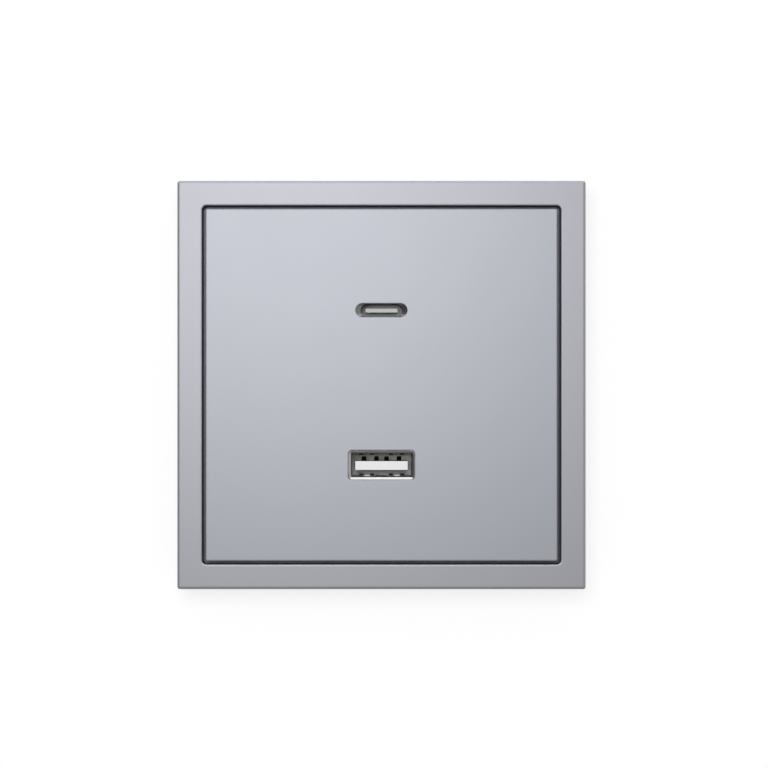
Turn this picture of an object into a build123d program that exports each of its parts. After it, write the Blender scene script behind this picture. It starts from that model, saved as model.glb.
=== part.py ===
from build123d import *
import math
import os

# A flush-mounted USB charging socket: an insert for a round wall box, with its cover plate and frame.
#
# Sizes are in millimetres. Each piece is drawn lying on its back, with x to the right, y up the
# face and z out of the wall, whose surface is at z = 0. At the end every piece is stood up, so that
# the face looks along -Y, the wall is the plane Y = 0 and +Z is up. The origin lies midway between
# the two box screws, where they meet the wall.

# Support ring, a pressed steel sheet that is screwed to the wall box
BOX_SCREW_SPACING = 60.0
BOX_SCREW_HOLE = 4.0
RING_EDGE = 5.5
RING_SHEET = 1.0
RING_CORNER_CUT = 10.0
RING_LIP_LENGTH = 30.0
RING_LIP_RISE = 2.4
RING_LIP_ROOT = 1.9
RING_LIP_RELIEF = 0.6
RING_BEND_RADIUS = 0.4
RING_COVER = 0.6
ARC_SLOT_SWEEP = 18.0
KEYHOLE_GROWTH = 1.5

# Cover frame
FRAME_RING_GAP = 3.5
FRAME_WALL = 1.5
FRAME_HEIGHT = 10.5
FRAME_FRONT = 1.5
FRAME_BORDER = 4.9
FRAME_GAP_WALL = 1.3
FRAME_LEDGE = 4.0
FRAME_LEDGE_SHEET = 1.2
FRAME_CORNER_RADIUS = 0.5
FRAME_EDGE_RADIUS = 0.45
OPENING_CORNER_RADIUS = 0.9
OPENING_EDGE_RADIUS = 0.12
FRAME_RIB = 1.0
FRAME_RIB_PITCH = 14.0
FRAME_RIBS_A_SIDE = 5

# Cover plate and the moulded carrier behind it
SHADOW_GAP = 0.7
PLATE_SHEET = 1.2
PLATE_CORNER_RADIUS = 0.4
PLATE_EDGE_RADIUS = 0.2
CARRIER_DECK = 1.6
CARRIER_INSET = 0.6
CARRIER_RIM = 1.2
CARRIER_RIM_DROP = 1.6
CARRIER_RIM_PLAY = 0.3
CARRIER_RIB = 1.2
CARRIER_RIB_DROP = 1.4
CARRIER_RIB_OFFSET = 14.0
CARRIER_CLEARANCE = 1.0

# Snap arms of the carrier, and the wedges on the front housing that they catch
ARM_OFFSET = 7.0
ARM_WIDTH = 7.4
ARM_SHEET = 1.2
ARM_PLAY = 0.25
ARM_BAR = 1.4
CATCH_WIDTH = 5.0
CATCH_REACH = 0.9
CATCH_RISE = 1.6
CATCH_PLAY = 0.2
ARM_FOOT_GAP = 0.4

# Housing, in two halves that are screwed together through the support ring
BODY_WIDTH = 41.0
BODY_HEIGHT = 50.0
BODY_DIAMETER = 56.0
BODY_DEPTH = 30.0
BODY_WALL = 1.6
BODY_EDGE_CHAMFER = 0.8
BAY_EDGE_ROUNDING = 0.4
STEP_STRIP = 3.6
STEP_DEPTH = 19.0
FRONT_WALL = 1.5
FRONT_EDGE_CHAMFER = 0.6
FLANGE_WIDTH = 1.8
FLANGE_SHEET = 1.2
SPIGOT_DROP = 2.0
WINDOW_PLAY = 0.2

# Housing screws, driven from behind at the four corners
SCREW_BAY_ROOM = 5.2
SCREW_RADIUS = 1.25
SCREW_PLAY = 0.05
SCREW_HEAD_RADIUS = 2.3
SCREW_HEAD_HEIGHT = 1.8
SCREW_HEAD_PLAY = 0.3
SCREW_SEAT_DEPTH = 13.0
SCREW_ENGAGEMENT = 6.0
SCREW_DRIVE_LENGTH = 3.0
SCREW_DRIVE_SLOT = 0.8
SCREW_DRIVE_DEPTH = 0.9
POST_WALL = 0.9
BOSS_WALL = 1.3
BOSS_INSET = 0.2
BOSS_END_GAP = 0.6

# Circuit board
BOARD_SHEET = 1.6
BOARD_PLAY = 0.3
BOARD_HOLE_PLAY = 0.35

# USB type A receptacle
USB_A_EDGE = 9.1
USB_A_WIDTH = 12.7
USB_A_HEIGHT = 5.4
USB_A_SHEET = 0.3
USB_A_CORNER_RADIUS = 0.5
USB_A_LENGTH = 13.8
USB_A_RECESS = 0.15
USB_A_FLARE = 0.15
USB_A_FLARE_DEPTH = 0.25
USB_A_FLARE_RIM = 0.04
USB_A_CUTOUT_PLAY = 0.1
USB_A_BASE = 4.6
USB_A_TONGUE_WIDTH = 10.4
USB_A_TONGUE_SHEET = 1.74
USB_A_TONGUE_DROP = 0.1
USB_A_TONGUE_RECESS = 0.9
USB_A_TONGUE_NOSE = 0.5
USB_A_CONTACT_PLACES = (-3.5, -1.0, 1.0, 3.5)
USB_A_CONTACT_WIDTH = 0.9
USB_A_CONTACT_SHEET = 0.2
USB_A_CONTACT_BUMP = 1.05
USB_A_CONTACT_SPRING = 4.4
USB_A_CONTACT_SETBACK = 0.4
USB_A_GROOVE_PLAY = 0.1
USB_A_GROOVE_DEPTH = 0.35
USB_A_FINGER_OFFSET = 3.0
USB_A_FINGER_WIDTH = 3.0
USB_A_FINGER_FORK = 1.4
USB_A_FINGER_HEEL = 1.2
USB_A_FINGER_GAP = 0.5
USB_A_FINGER_LENGTH = 4.4
USB_A_FINGER_TURN = 1.1
USB_A_FINGER_BOW = 0.55
USB_A_FINGER_SLIT = 0.25
USB_INSULATOR_PLAY = 0.05

# USB type C receptacle
USB_C_EDGE = 10.2
USB_C_WIDTH = 8.94
USB_C_HEIGHT = 3.16
USB_C_SHEET = 0.3
USB_C_CUTOUT_WIDTH = 10.2
USB_C_CUTOUT_HEIGHT = 2.72
USB_C_COVER_SKIN = 0.6
USB_C_COVER_GAP = 0.1
USB_C_FLARE_LAP = 0.15
USB_C_FLARE_RIM = 0.15
USB_C_POCKET_PLAY = 0.2
USB_C_MATING_DEPTH = 6.2
USB_C_TONGUE_WIDTH = 6.4
USB_C_TONGUE_SHEET = 0.75
USB_C_TONGUE_RECESS = 1.0
USB_C_CONTACTS_A_ROW = 12
USB_C_CONTACT_PITCH = 0.5
USB_C_CONTACT_WIDTH = 0.26
USB_C_CONTACT_SHEET = 0.06
USB_C_CONTACT_LENGTH = 3.6
USB_C_CONTACT_SETBACK = 0.5
PORT_PLAY = 0.25

# Claws, each turned on its trunnions by a nut that climbs its screw
BAY_DEPTH = 5.7
CLAW_SHEET = 1.2
CLAW_WIDTH = 9.0
CLAW_SIDE_PLAY = 0.5
CLAW_CURL_RADIUS = 1.3
CLAW_CURL_GAP = 0.4
CLAW_RING_GAP = 0.3
CLAW_TAB = 9.3
CLAW_ARM = 16.0
CLAW_TOOTH = 3.2
CLAW_REST_TILT = 27.0
CLAW_BEND = 83.0
CLAW_TOOTH_BEND = 75.0
CLAW_BEND_RADIUS = 1.0
CLAW_TEETH = 3
CLAW_TOOTH_NOTCH = 1.5
CLAW_SLOT_PLAY = 0.3
TRUNNION_REACH = 1.6
TRUNNION_PLAY = 0.1
TRUNNION_END_GAP = 0.3
CHEEK_WIDTH = 3.2
CHEEK_FLOOR = 3.0
TAB_MARGIN = 0.8
CLAW_SCREW_OFFSET = 4.5
CLAW_SCREW_RADIUS = 1.5
CLAW_SCREW_PLAY = 0.05
CLAW_SCREW_HEAD_RADIUS = 2.6
CLAW_SCREW_HEAD_HEIGHT = 1.9
CLAW_SCREW_TIP = 0.5
CLAW_SCREW_TIP_CHAMFER = 0.4
CLAW_SCREW_SLOT = 0.9
CLAW_SCREW_SLOT_DEPTH = 1.0
CLAW_SCREW_RING_PLAY = 0.1
NUT_RADIUS = 2.0
NUT_LENGTH = 7.0
NUT_GAP = 0.25
NUT_EDGE_CHAMFER = 0.3

# Terminals, one block for each pole
TERMINAL_STEP_GAP = 0.4
TERMINAL_EDGE_GAP = 2.4
TERMINAL_WIDTH = 9.5
TERMINAL_WALL = 0.8
TERMINAL_FLOOR = 3.5
TERMINAL_WINDOW_PLAY = 0.15
WIRE_HOLE_RADIUS = 1.65
WIRE_HOLE_FUNNEL = 0.5
WIRE_HOLE_PITCH = 4.4
WIRE_HOLE_RISE = 2.6
BUSBAR_SHEET = 0.8
BUSBAR_WIDTH = 7.4
BUSBAR_END_GAP = 1.0
CLAMP_SHEET = 0.4
CLAMP_WIDTH = 7.0
CLAMP_HEEL_RADIUS = 1.0
CLAMP_HEEL_GAP = 1.1
CLAMP_ROOT_GAP = 0.9
CLAMP_TIP_RISE = 4.1
CLAMP_TIP_GAP = 0.3
BUTTON_WIDTH = 5.2
BUTTON_HEIGHT = 3.0
BUTTON_RISE = 6.1
BUTTON_PROUD = 1.2
BUTTON_PLAY = 0.1
BUTTON_COLLAR = 0.7
BUTTON_COLLAR_SHEET = 1.0
BUTTON_NOSE_WIDTH = 4.0
BUTTON_NOSE_HEIGHT = 1.4
BUTTON_NOSE_LENGTH = 1.7
BUTTON_SLOT_WIDTH = 3.0
BUTTON_SLOT_DEPTH = 0.5

# Parts on the circuit board
TRANSFORMER_WALL_GAP = 2.0
CORE_WIDTH = 16.0
CORE_HEIGHT = 14.0
CORE_SHEET = 5.0
CORE_LEG = 2.0
CORE_MIDDLE_LEG = 4.0
CORE_YOKE = 2.4
BOBBIN_WALL = 0.7
BOBBIN_PLAY = 0.15
BOBBIN_BASE = 2.6
BOBBIN_BASE_WIDTH = 13.0
WINDING_REACH = 6.2
WINDING_CORNER_RADIUS = 1.0
PART_WALL_GAP = 0.6
BULK_CAPACITOR_RADIUS = 5.0
BULK_CAPACITOR_LENGTH = 20.0
OUTPUT_CAPACITOR_RADIUS = 3.15
OUTPUT_CAPACITOR_LENGTH = 12.0
CAPACITOR_EDGE_CHAMFER = 0.6
CAPACITOR_CRIMP_PLACE = 1.8
CAPACITOR_CRIMP_DEPTH = 0.4
SUPPRESSION_CAPACITOR_SIZE = (4.0, 13.0, 10.0)
CHOKE_RADIUS = 3.0
CHOKE_LENGTH = 8.0
CHOKE_FLANGE = 1.2
CHOKE_NECK_RADIUS = 1.4
CHOKE_WINDING_PLAY = 0.1
CHOKE_WINDING_INSET = 0.5
SIDE_PART_GAP = 0.5
VARISTOR_RADIUS = 3.2
VARISTOR_SHEET = 3.4
VARISTOR_EDGE_CHAMFER = 0.8
FUSE_RADIUS = 1.8
FUSE_LENGTH = 6.4
FUSE_CAP = 1.8
FUSE_CAP_RISE = 0.2
RECTIFIER_SIZE = (6.4, 4.2, 2.6)
OPTOCOUPLER_PLACE = (5.0, -5.6)
OPTOCOUPLER_SIZE = (6.4, 4.6, 3.4)
CONTROLLER_PLACE = (4.6, 3.0)
CONTROLLER_SIZE = (5.0, 5.0, 0.9)
INDUCTOR_PLACE = (-4.6, 2.0)
INDUCTOR_SIZE = (6.6, 6.6, 3.0)
CHIP_EDGE_CHAMFER = 0.3

# Sizes that follow from those above
SIDES = (-1, 1)
RING_SIDE = BOX_SCREW_SPACING + 2 * RING_EDGE
FRAME_INSIDE = RING_SIDE + 2 * FRAME_RING_GAP
FRAME_SIDE = FRAME_INSIDE + 2 * FRAME_WALL
OPENING_SIDE = FRAME_SIDE - 2 * FRAME_BORDER
LEDGE_OPENING_SIDE = OPENING_SIDE - 2 * FRAME_LEDGE
PLATE_SIDE = OPENING_SIDE - 2 * SHADOW_GAP
CARRIER_SIDE = PLATE_SIDE - 2 * CARRIER_INSET
CARRIER_RIM_SIDE = LEDGE_OPENING_SIDE - 2 * CARRIER_RIM_PLAY

PLATE_BACK = FRAME_HEIGHT - PLATE_SHEET
DECK_BACK = PLATE_BACK - CARRIER_DECK
LEDGE_BACK = DECK_BACK - FRAME_LEDGE_SHEET
FRONT_TOP = DECK_BACK - CARRIER_CLEARANCE
FLANGE_TOP = RING_SHEET + FLANGE_SHEET

USB_A_Y = USB_A_EDGE - BODY_HEIGHT / 2
USB_C_Y = BODY_HEIGHT / 2 - USB_C_EDGE
USB_A_MOUTH = FRAME_HEIGHT - USB_A_RECESS
USB_C_MOUTH = FRAME_HEIGHT - USB_C_COVER_SKIN - USB_C_COVER_GAP
BOARD_FRONT = USB_A_MOUTH - USB_A_LENGTH
BOARD_BACK = BOARD_FRONT - BOARD_SHEET
USB_A_BASE_TOP = BOARD_FRONT + USB_A_BASE
USB_C_BASE_TOP = USB_C_MOUTH - USB_C_MATING_DEPTH
USB_C_FLARE_WIDTH = USB_C_CUTOUT_WIDTH + 2 * (USB_C_FLARE_LAP + USB_C_FLARE_RIM)

BAY_FLOOR = BODY_WIDTH / 2 - BAY_DEPTH
BAY_HALF = CLAW_WIDTH / 2 + CLAW_SIDE_PLAY
CHEEK_EDGE = BAY_HALF + CHEEK_WIDTH
STEP_Y = -BAY_HALF - STEP_STRIP
CAVITY_SIDE = BODY_WIDTH / 2 - BODY_WALL
CAVITY_BAY = BAY_FLOOR - BODY_WALL
CAVITY_TOP = BODY_HEIGHT / 2 - BODY_WALL

# The window ends at the body's flats, or where the round is just as wide as the snap arms
RIM_OVERLAP = BODY_WALL + RING_COVER
WINDOW_SIDE = BODY_WIDTH / 2 - RIM_OVERLAP
WINDOW_RADIUS = BODY_DIAMETER / 2 - RIM_OVERLAP
ARM_CHORD = math.sqrt(WINDOW_RADIUS ** 2 - (ARM_OFFSET + ARM_WIDTH / 2) ** 2)
WINDOW_TOP = min(BODY_HEIGHT / 2 - RIM_OVERLAP, ARM_CHORD)
TAB_REACH = BAY_FLOOR - RIM_OVERLAP
TAB_HALF = CHEEK_EDGE + TAB_MARGIN
FRONT_SIDE_Y = WINDOW_TOP - WINDOW_PLAY

PIVOT_X = BAY_FLOOR + CLAW_CURL_GAP + CLAW_CURL_RADIUS
PIVOT_Z = -CLAW_RING_GAP - CLAW_CURL_RADIUS
CLAW_SCREW_X = PIVOT_X + CLAW_SCREW_OFFSET
REST_ANGLE = math.radians(CLAW_REST_TILT)
NUT_LEVEL = CLAW_SCREW_OFFSET * math.tan(REST_ANGLE)
NUT_LEVEL += (NUT_RADIUS + CLAW_SHEET / 2 + NUT_GAP) / math.cos(REST_ANGLE)
NUT_Z = PIVOT_Z - NUT_LEVEL

# Each screw stands clear of the claw bay, as far out as the front half's side and round let its boss
POST_RADIUS = SCREW_HEAD_RADIUS + SCREW_HEAD_PLAY + POST_WALL
BOSS_RADIUS = SCREW_RADIUS + SCREW_PLAY + BOSS_WALL
BOSS_MARGIN = WINDOW_PLAY + BOSS_RADIUS + BOSS_INSET
SCREW_Y = CHEEK_EDGE + SCREW_BAY_ROOM + POST_RADIUS
SCREW_X = min(WINDOW_SIDE - BOSS_MARGIN, math.sqrt((WINDOW_RADIUS - BOSS_MARGIN) ** 2 - SCREW_Y ** 2))
SCREW_TIP_Z = BOARD_FRONT + SCREW_ENGAGEMENT

TERMINAL_TOP = STEP_Y - TERMINAL_STEP_GAP
TERMINAL_BOTTOM = BODY_WALL + TERMINAL_EDGE_GAP - BODY_HEIGHT / 2
TERMINAL_HEIGHT = TERMINAL_TOP - TERMINAL_BOTTOM
TERMINAL_Y = (TERMINAL_TOP + TERMINAL_BOTTOM) / 2
CHAMBER_FLOOR = -STEP_DEPTH + TERMINAL_FLOOR
CHAMBER_BOTTOM = TERMINAL_BOTTOM + TERMINAL_WALL
CHAMBER_TOP = TERMINAL_TOP - TERMINAL_WALL
WIRE_Y = CHAMBER_BOTTOM + WIRE_HOLE_RISE
BUTTON_Y = CHAMBER_BOTTOM + BUTTON_RISE
POLES = (("live", TERMINAL_WIDTH / 2), ("neutral", -TERMINAL_WIDTH / 2))


# Helpers for the flat outlines and the sheets bent from them

def slab(outline, low, high):
    """A flat outline made solid between two heights."""
    return extrude(Pos(0, 0, low) * outline, high - low)


def square(side, radius):
    """A square outline with rounded corners."""
    return RectangleRounded(side, side, radius)


def bent_sheet(points, radius, sheet, width):
    """A strip of sheet that follows points in its own plane, bent round to a radius at each corner."""
    line = FilletPolyline(*points, radius=radius)
    return extrude(trace(line, sheet), width / 2, both=True)


def side_plane(x):
    """The plane across the face at x, with its own x axis up the face and its y axis out of the wall."""
    return Plane(origin=(x, 0, 0), x_dir=(0, 1, 0), z_dir=(1, 0, 0))


def corners(x, y):
    """The four places at plus and minus x and y."""
    return [(i * x, j * y) for i in SIDES for j in SIDES]


def body_outline(inset):
    """The insert's outline in the wall box, drawn in by an inset, with a bay for each claw."""
    block = Rectangle(BODY_WIDTH - 2 * inset, BODY_HEIGHT - 2 * inset)
    outline = block & Circle(BODY_DIAMETER / 2 - inset)
    bay = Rectangle(BODY_WIDTH, 2 * (BAY_HALF + inset))
    for side in SIDES:
        outline -= Pos(side * (BAY_FLOOR - inset + BODY_WIDTH / 2), 0) * bay
    return outline


def window_outline(growth):
    """The support ring's window, grown all round, with the ring's tab left in at each claw."""
    block = Rectangle(2 * (WINDOW_SIDE + growth), 2 * (WINDOW_TOP + growth))
    outline = block & Circle(WINDOW_RADIUS + growth)
    tab = Rectangle(BODY_WIDTH, 2 * (TAB_HALF - growth))
    for side in SIDES:
        outline -= Pos(side * (TAB_REACH + growth + BODY_WIDTH / 2), 0) * tab
    return outline


def usb_a_outline(growth):
    """The type A shell's outer outline on the face, grown all round."""
    width = USB_A_WIDTH + 2 * growth
    return Pos(0, USB_A_Y) * RectangleRounded(width, USB_A_HEIGHT + 2 * growth, USB_A_CORNER_RADIUS + growth)


def usb_c_outline(growth):
    """The type C shell's outer outline on the face, grown all round."""
    return Pos(0, USB_C_Y) * SlotOverall(USB_C_WIDTH + 2 * growth, USB_C_HEIGHT + 2 * growth)


def usb_c_flare_outline(growth):
    """The type C shell's outer outline at its flared mouth, grown all round."""
    return Pos(0, USB_C_Y) * SlotOverall(USB_C_FLARE_WIDTH + 2 * growth, USB_C_HEIGHT + 2 * growth)


def bell(narrow, wide, low, high):
    """A solid that widens from one outline at the level low to another at the level high."""
    return loft([Pos(0, 0, low) * narrow, Pos(0, 0, high) * wide])


# Cover: frame, plate and carrier

def cover_frame():
    """The square frame: a hollow border, a wall along the shadow gap and a ledge for the carrier."""
    gap_wall_side = OPENING_SIDE + 2 * FRAME_GAP_WALL
    frame = slab(square(FRAME_SIDE, FRAME_CORNER_RADIUS), 0, FRAME_HEIGHT)
    frame -= slab(square(OPENING_SIDE, OPENING_CORNER_RADIUS), DECK_BACK, FRAME_HEIGHT)
    rims = frame.faces().sort_by(Axis.Z)[-1]
    frame = fillet(rims.outer_wire().edges(), FRAME_EDGE_RADIUS)
    rims = frame.faces().sort_by(Axis.Z)[-1]
    frame = fillet(rims.inner_wires()[0].edges(), OPENING_EDGE_RADIUS)
    frame -= slab(square(LEDGE_OPENING_SIDE, OPENING_CORNER_RADIUS), 0, DECK_BACK)
    inside = Rectangle(FRAME_INSIDE, FRAME_INSIDE)
    channel = inside - Rectangle(gap_wall_side, gap_wall_side)
    frame -= slab(inside, 0, LEDGE_BACK)
    frame -= slab(channel, LEDGE_BACK, FRAME_HEIGHT - FRAME_FRONT)
    rib = Rectangle(FRAME_RIB, FRAME_INSIDE) - Rectangle(FRAME_RIB, gap_wall_side)
    for i in range(FRAME_RIBS_A_SIDE):
        place = (i - (FRAME_RIBS_A_SIDE - 1) / 2) * FRAME_RIB_PITCH
        for turn in (0, 90):
            frame += slab(Rot(0, 0, turn) * Pos(place, 0) * rib, LEDGE_BACK, FRAME_HEIGHT - FRAME_FRONT)
    return frame


def cover_plate():
    """The centre plate, cut out for the two ports and thinned behind the type C port."""
    plate = slab(square(PLATE_SIDE, PLATE_CORNER_RADIUS), PLATE_BACK, FRAME_HEIGHT)
    rim = plate.faces().sort_by(Axis.Z)[-1].outer_wire().edges()
    plate = fillet(rim, PLATE_EDGE_RADIUS)
    plate -= slab(usb_a_outline(USB_A_FLARE + USB_A_CUTOUT_PLAY), PLATE_BACK, FRAME_HEIGHT)
    usb_c_cutout = Pos(0, USB_C_Y) * SlotOverall(USB_C_CUTOUT_WIDTH, USB_C_CUTOUT_HEIGHT)
    plate -= slab(usb_c_cutout, PLATE_BACK, FRAME_HEIGHT)
    plate -= slab(usb_c_flare_outline(USB_C_POCKET_PLAY), PLATE_BACK, FRAME_HEIGHT - USB_C_COVER_SKIN)
    return plate


def snap_arm():
    """One snap arm, drawn at the top edge: a strip with a window that drops over its wedge."""
    foot = FLANGE_TOP + ARM_FOOT_GAP
    inner = FRONT_SIDE_Y + ARM_PLAY
    strip = Pos(0, inner + ARM_SHEET / 2) * Rectangle(ARM_WIDTH, ARM_SHEET)
    opening = Pos(0, inner + ARM_SHEET / 2) * Rectangle(CATCH_WIDTH + 2 * CATCH_PLAY, ARM_SHEET)
    window_low = foot + ARM_BAR
    window_high = window_low + CATCH_RISE + 2 * CATCH_PLAY
    return slab(strip, foot, DECK_BACK) - slab(opening, window_low, window_high)


def cover_carrier():
    """The moulded tray behind the plate: it sits on the frame's ledge and snaps to the insert."""
    carrier = slab(square(CARRIER_SIDE, PLATE_CORNER_RADIUS), DECK_BACK, PLATE_BACK)
    rim = square(CARRIER_RIM_SIDE, OPENING_CORNER_RADIUS)
    rim -= Rectangle(CARRIER_RIM_SIDE - 2 * CARRIER_RIM, CARRIER_RIM_SIDE - 2 * CARRIER_RIM)
    carrier += slab(rim, DECK_BACK - CARRIER_RIM_DROP, DECK_BACK)
    rib_gap = BODY_WIDTH
    rib = Rectangle(CARRIER_RIM_SIDE, CARRIER_RIB) - Rectangle(rib_gap, CARRIER_RIB)
    for side in SIDES:
        carrier += slab(Pos(0, side * CARRIER_RIB_OFFSET) * rib, DECK_BACK - CARRIER_RIB_DROP, DECK_BACK)
    for x, y in corners(ARM_OFFSET, 1):
        arm = Pos(x, 0, 0) * snap_arm()
        carrier += arm if y > 0 else mirror(arm, about=Plane.XZ)
    carrier -= slab(usb_a_outline(PORT_PLAY), DECK_BACK, PLATE_BACK)
    carrier -= slab(usb_c_outline(PORT_PLAY), DECK_BACK, PLATE_BACK)
    return carrier


# Insert: support ring and housing

def ring_outline():
    """The ring's square outline with its corners cropped."""
    diamond = (RING_SIDE - RING_CORNER_CUT) * math.sqrt(2)
    return Rectangle(RING_SIDE, RING_SIDE) & (Rot(0, 0, 45) * Rectangle(diamond, diamond))


def ring_lip():
    """One bent-up lip, drawn at the right edge, where it leaves the flat sheet at a bend."""
    outer = RING_SIDE / 2 - RING_SHEET / 2
    middle = RING_SHEET / 2
    root = RING_SIDE / 2 - RING_LIP_ROOT
    points = [(root, middle), (outer, middle), (outer, RING_SHEET + RING_LIP_RISE)]
    return Plane.XZ * bent_sheet(points, RING_BEND_RADIUS + middle, RING_SHEET, RING_LIP_LENGTH)


def support_ring():
    """The pressed ring: window, box screw holes, arc slots, claw screw holes and bent-up lips."""
    flat = ring_outline() - window_outline(0)
    screw_circle = BOX_SCREW_SPACING / 2
    for side in SIDES:
        flat -= Pos(side * screw_circle, 0) * Circle(BOX_SCREW_HOLE / 2)
        flat -= Pos(side * CLAW_SCREW_X, 0) * Circle(CLAW_SCREW_RADIUS + CLAW_SCREW_RING_PLAY)
        middle = CenterArc((0, 0), screw_circle, side * 90 - ARC_SLOT_SWEEP / 2, ARC_SLOT_SWEEP)
        flat -= SlotArc(middle, BOX_SCREW_HOLE)
        end = Rot(0, 0, side * 90 + ARC_SLOT_SWEEP / 2) * Pos(screw_circle, 0)
        flat -= end * Circle(BOX_SCREW_HOLE / 2 + KEYHOLE_GROWTH)
    notch = Rectangle(RING_LIP_ROOT, RING_LIP_LENGTH + 2 * RING_LIP_RELIEF)
    turns = [Rot(0, 0, turn) for turn in (0, 90, 180, 270)]
    for turn in turns:
        flat -= turn * Pos((RING_SIDE - RING_LIP_ROOT) / 2, 0) * notch
    ring = slab(flat, 0, RING_SHEET)
    for turn in turns:
        ring += turn * ring_lip()
    return ring


def catch_wedge():
    """One wedge for a snap arm, drawn at the top edge of the front housing."""
    foot = FLANGE_TOP + ARM_FOOT_GAP + ARM_BAR + CATCH_PLAY
    wall = FRONT_SIDE_Y
    profile = Polygon((wall, foot), (wall + CATCH_REACH, foot), (wall, foot + CATCH_RISE), align=None)
    return extrude(side_plane(0) * profile, CATCH_WIDTH / 2, both=True)


def housing_front():
    """The front half: a raised box through the ring's window, a flange and four screw bosses."""
    spigot_low = -SPIGOT_DROP
    box = slab(window_outline(-WINDOW_PLAY), spigot_low, FRONT_TOP)
    box = chamfer(box.faces().sort_by(Axis.Z)[-1].outer_wire().edges(), FRONT_EDGE_CHAMFER)
    front = box + slab(window_outline(FLANGE_WIDTH), RING_SHEET, FLANGE_TOP)
    front -= slab(window_outline(-WINDOW_PLAY - FRONT_WALL), spigot_low, FRONT_TOP - FRONT_WALL)
    for x, y in corners(SCREW_X, SCREW_Y):
        front += slab(Pos(x, y) * Circle(BOSS_RADIUS), BOARD_FRONT, FRONT_TOP - FRONT_WALL)
    for x, y in corners(SCREW_X, SCREW_Y):
        hole = Pos(x, y) * Circle(SCREW_RADIUS + SCREW_PLAY)
        front -= slab(hole, BOARD_FRONT, SCREW_TIP_Z + BOSS_END_GAP)
    for x, y in corners(ARM_OFFSET, 1):
        wedge = Pos(x, 0, 0) * catch_wedge()
        front += wedge if y > 0 else mirror(wedge, about=Plane.XZ)
    front -= slab(usb_a_outline(PORT_PLAY), FRONT_TOP - FRONT_WALL, FRONT_TOP)
    front -= slab(usb_c_outline(PORT_PLAY), FRONT_TOP - FRONT_WALL, FRONT_TOP)
    return front


def below_step(margin, depth):
    """The space behind the step, under the deep part of the rear housing."""
    low = -BODY_HEIGHT / 2
    height = STEP_Y + margin - low
    area = Pos(0, low + height / 2) * Rectangle(BODY_WIDTH, height)
    return slab(area, -BODY_DEPTH, -depth)


def trunnion_notch():
    """The slot across one claw bay that its trunnions drop into from the front."""
    radius = CLAW_CURL_RADIUS + TRUNNION_PLAY
    reach = BAY_HALF + TRUNNION_REACH + TRUNNION_END_GAP
    bottom = Pos(PIVOT_X, PIVOT_Z) * Circle(radius)
    way_in = Pos(PIVOT_X, PIVOT_Z / 2) * Rectangle(2 * radius, -PIVOT_Z)
    return extrude(Plane.XZ * (bottom + way_in), reach, both=True)


def housing_rear():
    """The rear half: a stepped cup with a bay for each claw, trunnion cheeks and screw posts."""
    outer = slab(body_outline(0), -BODY_DEPTH, 0)
    upright = outer.edges().filter_by(Axis.Z)
    bay_edges = [e for e in upright if abs(e.center().Y) < CHEEK_EDGE and abs(e.center().X) > PIVOT_X]
    outer = fillet(bay_edges, BODY_EDGE_CHAMFER + BAY_EDGE_ROUNDING) - below_step(0, STEP_DEPTH)
    outer = chamfer(outer.faces().sort_by(Axis.Z)[0].outer_wire().edges(), BODY_EDGE_CHAMFER)
    inner = slab(body_outline(BODY_WALL), -BODY_DEPTH + BODY_WALL, 0)
    inner -= below_step(BODY_WALL, STEP_DEPTH - BODY_WALL)
    rear = outer - inner
    for x, y in corners(SCREW_X, SCREW_Y):
        rear += slab(Pos(x, y) * Circle(POST_RADIUS), -BODY_DEPTH, BOARD_BACK) & outer
    cheek_depth = CLAW_CURL_RADIUS + TRUNNION_PLAY + CHEEK_FLOOR - PIVOT_Z
    cheek_length = BODY_WIDTH / 2 - BAY_FLOOR + BODY_WALL
    cheek = Rectangle(cheek_length, CHEEK_WIDTH)
    for x, y in corners(BODY_WIDTH / 2 - cheek_length / 2, BAY_HALF + CHEEK_WIDTH / 2):
        rear += slab(Pos(x, y) * cheek, -cheek_depth, 0) & outer
    rear -= trunnion_notch()
    rear -= mirror(trunnion_notch(), about=Plane.YZ)
    for x, y in corners(SCREW_X, SCREW_Y):
        rear -= slab(Pos(x, y) * Circle(SCREW_RADIUS + SCREW_PLAY), -SCREW_SEAT_DEPTH, BOARD_BACK)
        well = Pos(x, y) * Circle(SCREW_HEAD_RADIUS + SCREW_HEAD_PLAY)
        rear -= slab(well, -BODY_DEPTH, -SCREW_SEAT_DEPTH)
    width = 2 * TERMINAL_WIDTH + 2 * TERMINAL_WINDOW_PLAY
    window = Rectangle(width, TERMINAL_HEIGHT + 2 * TERMINAL_WINDOW_PLAY)
    rear -= slab(Pos(0, TERMINAL_Y) * window, -STEP_DEPTH, -STEP_DEPTH + BODY_WALL)
    return rear


def housing_screws():
    """The four screws that hold the halves together, driven from behind."""
    head = slab(Circle(SCREW_HEAD_RADIUS), -SCREW_SEAT_DEPTH - SCREW_HEAD_HEIGHT, -SCREW_SEAT_DEPTH)
    head = chamfer(head.edges().sort_by(Axis.Z)[0], SCREW_HEAD_HEIGHT / 3)
    screw = head + slab(Circle(SCREW_RADIUS), -SCREW_SEAT_DEPTH, SCREW_TIP_Z)
    head_back = -SCREW_SEAT_DEPTH - SCREW_HEAD_HEIGHT
    for turn in (45, 135):
        drive = Rot(0, 0, turn) * Rectangle(SCREW_DRIVE_LENGTH, SCREW_DRIVE_SLOT)
        screw -= slab(drive, head_back, head_back + SCREW_DRIVE_DEPTH)
    return Compound([Pos(x, y, 0) * screw for x, y in corners(SCREW_X, SCREW_Y)])


# Claws

def turned(angle, length):
    """The step of a length in a direction, in degrees, of the claw's own plane."""
    return (length * math.cos(math.radians(angle)), length * math.sin(math.radians(angle)))


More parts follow.
